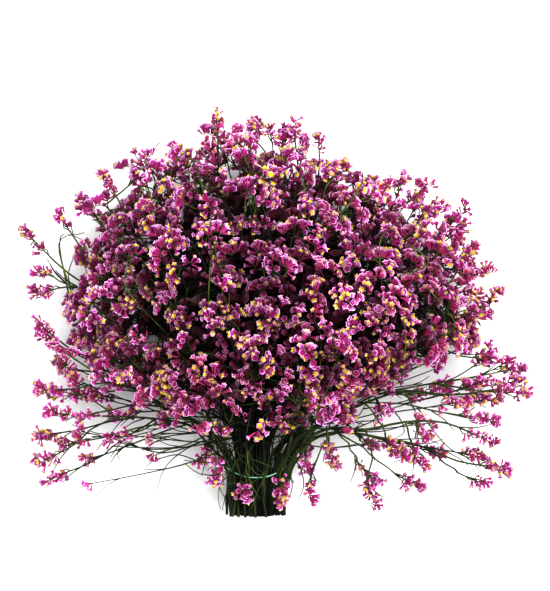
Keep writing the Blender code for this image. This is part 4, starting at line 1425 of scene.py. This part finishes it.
def calyx_finish():
    """Tube, papery mouth with a pale rim, ribs, and a throat painted dark as shade, from magenta to
    violet; deep florets get painted shade too.
    """
    paper = Finish("calyx_paper", roughness=0.62, specular=0.2)
    place = paper.times(paper.attribute("along"), RAMP_PLACE)
    uneven = paper.number("MULTIPLY_ADD", paper.noise(TUBE_SPECKS), *TUBE_UNEVEN)
    # Both ramps run from the foot to the rim, then inwards into the throat, which they paint near black as
    # shade
    pink = paper.ramp(
        paper.number("ADD", place, uneven), (0.00, 0.050, 0.060, 0.016), (0.12, 0.130, 0.050, 0.022),
        (0.22, 0.220, 0.022, 0.040), (0.32, 0.300, 0.018, 0.115), (0.43, 0.430, 0.046, 0.310),
        (0.485, 0.860, 0.480, 0.790), (0.545, 0.840, 0.460, 0.760), (0.61, 0.390, 0.032, 0.250),
        (0.74, 0.130, 0.005, 0.060), (1.00, 0.040, 0.002, 0.015))
    violet = paper.ramp(
        place, (0.00, 0.045, 0.055, 0.016), (0.14, 0.120, 0.030, 0.030), (0.30, 0.240, 0.022, 0.170),
        (0.43, 0.300, 0.055, 0.290), (0.485, 0.740, 0.500, 0.760), (0.545, 0.700, 0.430, 0.710),
        (0.61, 0.230, 0.030, 0.220), (0.74, 0.070, 0.004, 0.055), (1.00, 0.030, 0.002, 0.024))
    mixed = paper.blend(paper.times(paper.attribute("tint"), VIOLET_SHARE), pink, violet)
    # Low tints turn the calyx crimson, its own colour; the shade value adds painted shade that turns deep
    # florets crimson brown
    below = paper.number("SUBTRACT", CRIMSON_BELOW, paper.attribute("tint"))
    crimson = paper.times(below, CRIMSON_GAIN)
    depth = paper.times(paper.number("SUBTRACT", 1.0, paper.attribute("shade")), PAINTED_SHADE_WARMING)
    both = paper.number("ADD", paper.number("MAXIMUM", crimson, 0.0), paper.number("MAXIMUM", depth, 0.0))
    warmed = paper.blend(paper.number("MINIMUM", both, CRIMSON_MOST), mixed, (0.24, 0.044, 0.044))
    ribs = paper.number("POWER", paper.attribute("around"), RIB_POWER)
    ribbed = paper.blend(paper.times(ribs, RIB_SHARE), warmed, (0.34, 0.012, 0.16))
    # Painted shade on the pale rim: it is dimmed on deep florets
    rim_painted_shade = paper.number("MINIMUM", paper.times(paper.attribute("shade"), RIM_GAIN), 1.0)
    rim = paper.times(paper.number("COMPARE", place, RIM_PLACE, RIM_HALF_WIDTH), rim_painted_shade)
    patch = paper.number("MULTIPLY_ADD", paper.noise(PATCH_SCALE, detail=2), *PATCH_UNEVEN)
    paler = paper.times(paper.number("SUBTRACT", paper.attribute("shade"), PALE_ABOVE), PALE_GAIN)
    bleached = paper.blend(paper.number("MAXIMUM", paler, 0.0), paper.blend(rim, ribbed, mixed),
                           (0.84, 0.50, 0.74))
    return paper.done(paper.shaded(bleached, patch), paper.number("ADD", paper.noise(1500), ribs),
                      strength=0.5, distance=0.0003)


def corolla_finish():
    """Yellow petals that turn orange towards the throat, where they are painted dark as shade."""
    petal = Finish("corolla_yellow", roughness=0.5)
    # The last stops paint the throat dark as shade
    yellow = petal.ramp(
        petal.times(petal.attribute("along"), RAMP_PLACE), (0.00, 0.38, 0.20, 0.02),
        (0.30, 0.60, 0.36, 0.02), (0.50, 0.55, 0.41, 0.028), (0.70, 0.51, 0.35, 0.02),
        (0.84, 0.46, 0.20, 0.01), (1.00, 0.10, 0.035, 0.005))
    pale = petal.blend(petal.times(petal.noise(300), PETAL_PALE_SHARE), yellow, (0.59, 0.49, 0.09))
    return petal.done(petal.shaded(pale), petal.noise(1800), strength=0.4, distance=0.0002)


def bud_finish():
    """Shut flowers from orange over yellow to a dry peach."""
    bud = Finish("bud_peach", roughness=0.5)
    hue = bud.ramp(bud.noise(210, detail=1), (0.34, 0.80, 0.34, 0.10), (0.46, 0.86, 0.52, 0.04),
                   (0.58, 0.88, 0.66, 0.10), (0.70, 0.90, 0.66, 0.50))
    return bud.done(bud.shaded(hue), bud.noise(1600), strength=0.4, distance=0.0002)


def stem_finish():
    """Dull green stems with streaks along them, some of them dried brown, darkened by painted shade where
    they lie deep.
    """
    bark = Finish("stem_green", roughness=0.66, specular=0.28)
    streak = add(bark.tree, "ShaderNodeMapping", {
        "Vector": add(bark.tree, "ShaderNodeTexCoord", {}).outputs["Object"], "Scale": STREAK_SCALE})
    green = bark.ramp(
        bark.noise(150, 4, 0.6, streak.outputs[0]), (0.30, 0.010, 0.020, 0.004),
        (0.50, 0.026, 0.046, 0.007), (0.66, 0.078, 0.104, 0.016), (0.80, 0.120, 0.094, 0.026))
    uneven = bark.number("MULTIPLY_ADD", bark.attribute("tint"), *STEM_UNEVEN)
    return bark.done(bark.shaded(green, uneven), bark.noise(1200, 3, 0.6, streak.outputs[0]),
                     strength=0.6, distance=0.0003)


def string_finish():
    """Pale green twisted thread."""
    yarn = Finish("string_pale_green", roughness=0.5)
    tone = yarn.ramp(yarn.noise(700, detail=4), (0.30, 0.08, 0.22, 0.13), (0.55, 0.18, 0.38, 0.25),
                     (0.75, 0.30, 0.50, 0.36))
    return yarn.done(tone, yarn.noise(2600), strength=0.5, distance=0.0002)


def floor_finish():
    """The pale floor of the studio."""
    pale = Finish("floor_pale", roughness=0.8)
    tone = pale.ramp(pale.noise(3, detail=2), (0.3, 0.86, 0.86, 0.86), (0.7, 0.90, 0.90, 0.90))
    return pale.done(tone)


# The tie, its string and the surroundings
STRING_TURNS = 46
STRING_STEPS = 8 * STRING_TURNS
STRING_SIDES = 6
YARN_SHARES = (0.36, 0.46)


def dress_tie(ring, finish):
    """The string round the bundle: two yarns that twist round each other on the tie's middle line."""
    closed = np.vstack((ring, ring[:1]))
    place = np.arange(STRING_STEPS) / STRING_STEPS * len(ring)
    low = place.astype(int)
    centre = closed[low] + (place - low)[:, None] * (closed[low + 1] - closed[low])
    outward = unit((centre - np.array((HUB[0], 0, HUB[2]))) * np.array((1, 0, 1)))
    points, edges = [], []
    for yarn in range(2):
        twist = 2 * math.pi * STRING_TURNS * np.arange(STRING_STEPS) / STRING_STEPS + math.pi * yarn
        offset = np.cos(twist)[:, None] * outward + np.sin(twist)[:, None] * np.array((0, 1, 0))
        begin = len(points)
        points += list(centre + offset * TIE_STRING_RADIUS * YARN_SHARES[0])
        edges += [(begin + k, begin + (k + 1) % STRING_STEPS) for k in range(STRING_STEPS)]
    item = line_object("tie_string", points, edges)
    grow_mesh(item, string_tree(), {"Yarn radius": TIE_STRING_RADIUS * YARN_SHARES[1],
                                    "Yarn sides": STRING_SIDES, "String finish": finish})
    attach(item, "root")
    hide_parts("tie")


PHOTO_HEIGHT, MIDDLE_ROW, METRES_PER_PIXEL = 591, 311.5, 0.0007
CAMERA_DISTANCE = 1.8
SENSOR_MM = 36
FLOOR_HALF = 6.0
LIGHT_AIM = Vector((0, 0, 0.08))
LIGHTS = {"key": ((0.20, 0.20, 1.7), 0.9, 55), "fill": ((-0.6, -0.3, 1.7), 1.4, 6)}
SKY_STRENGTH = 0.11


def set_camera():
    """Straight above the bunch, with the crown at the top of the picture."""
    data = bpy.data.cameras.new("camera")
    data.sensor_width = SENSOR_MM
    data.lens = SENSOR_MM * CAMERA_DISTANCE / (PHOTO_HEIGHT * METRES_PER_PIXEL)
    middle_y = (MIDDLE_ROW - PHOTO_HEIGHT / 2) * METRES_PER_PIXEL
    place = (0, middle_y, HUB[2] + CAMERA_DISTANCE)
    bpy.context.scene.camera = place_object("camera", data, place)


def set_studio():
    """A pale floor, two round lights above it and a weak even sky."""
    mesh = bpy.data.meshes.new("floor")
    corners = [(x * FLOOR_HALF, y * FLOOR_HALF, 0) for x, y in ((-1, -1), (1, -1), (1, 1), (-1, 1))]
    mesh.from_pydata(corners, [], [(0, 1, 2, 3)])
    mesh.materials.append(floor_finish())
    floor = place_object("floor", mesh)
    world = bpy.data.worlds.new("studio")
    world.use_nodes = True
    sky = world.node_tree.nodes["Background"].inputs
    sky["Color"].default_value = (1, 1, 1, 1)
    sky["Strength"].default_value = SKY_STRENGTH
    bpy.context.scene.world = world
    for name, (place, size, power) in LIGHTS.items():
        data = bpy.data.lights.new(name, "AREA")
        data.shape = "DISK"
        data.size = size
        data.energy = power
        light = place_object(name, data, place)
        light.rotation_mode = "QUATERNION"
        light.rotation_quaternion = (LIGHT_AIM - Vector(place)).to_track_quat("-Z", "Y")
    bpy.context.scene.view_settings.view_transform = "Standard"
    bpy.context.scene.view_settings.look = "High Contrast"


def main():
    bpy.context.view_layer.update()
    finishes = {"stem": stem_finish(), "calyx": calyx_finish(), "corolla": corolla_finish(),
                "bud": bud_finish()}
    sprays, ring = grow_sprays(np.random.default_rng(FLOWER_SEED))
    dress_sprays(sprays, finishes)
    dress_tie(ring, string_finish())
    set_camera()
    set_studio()
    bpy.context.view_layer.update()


main()
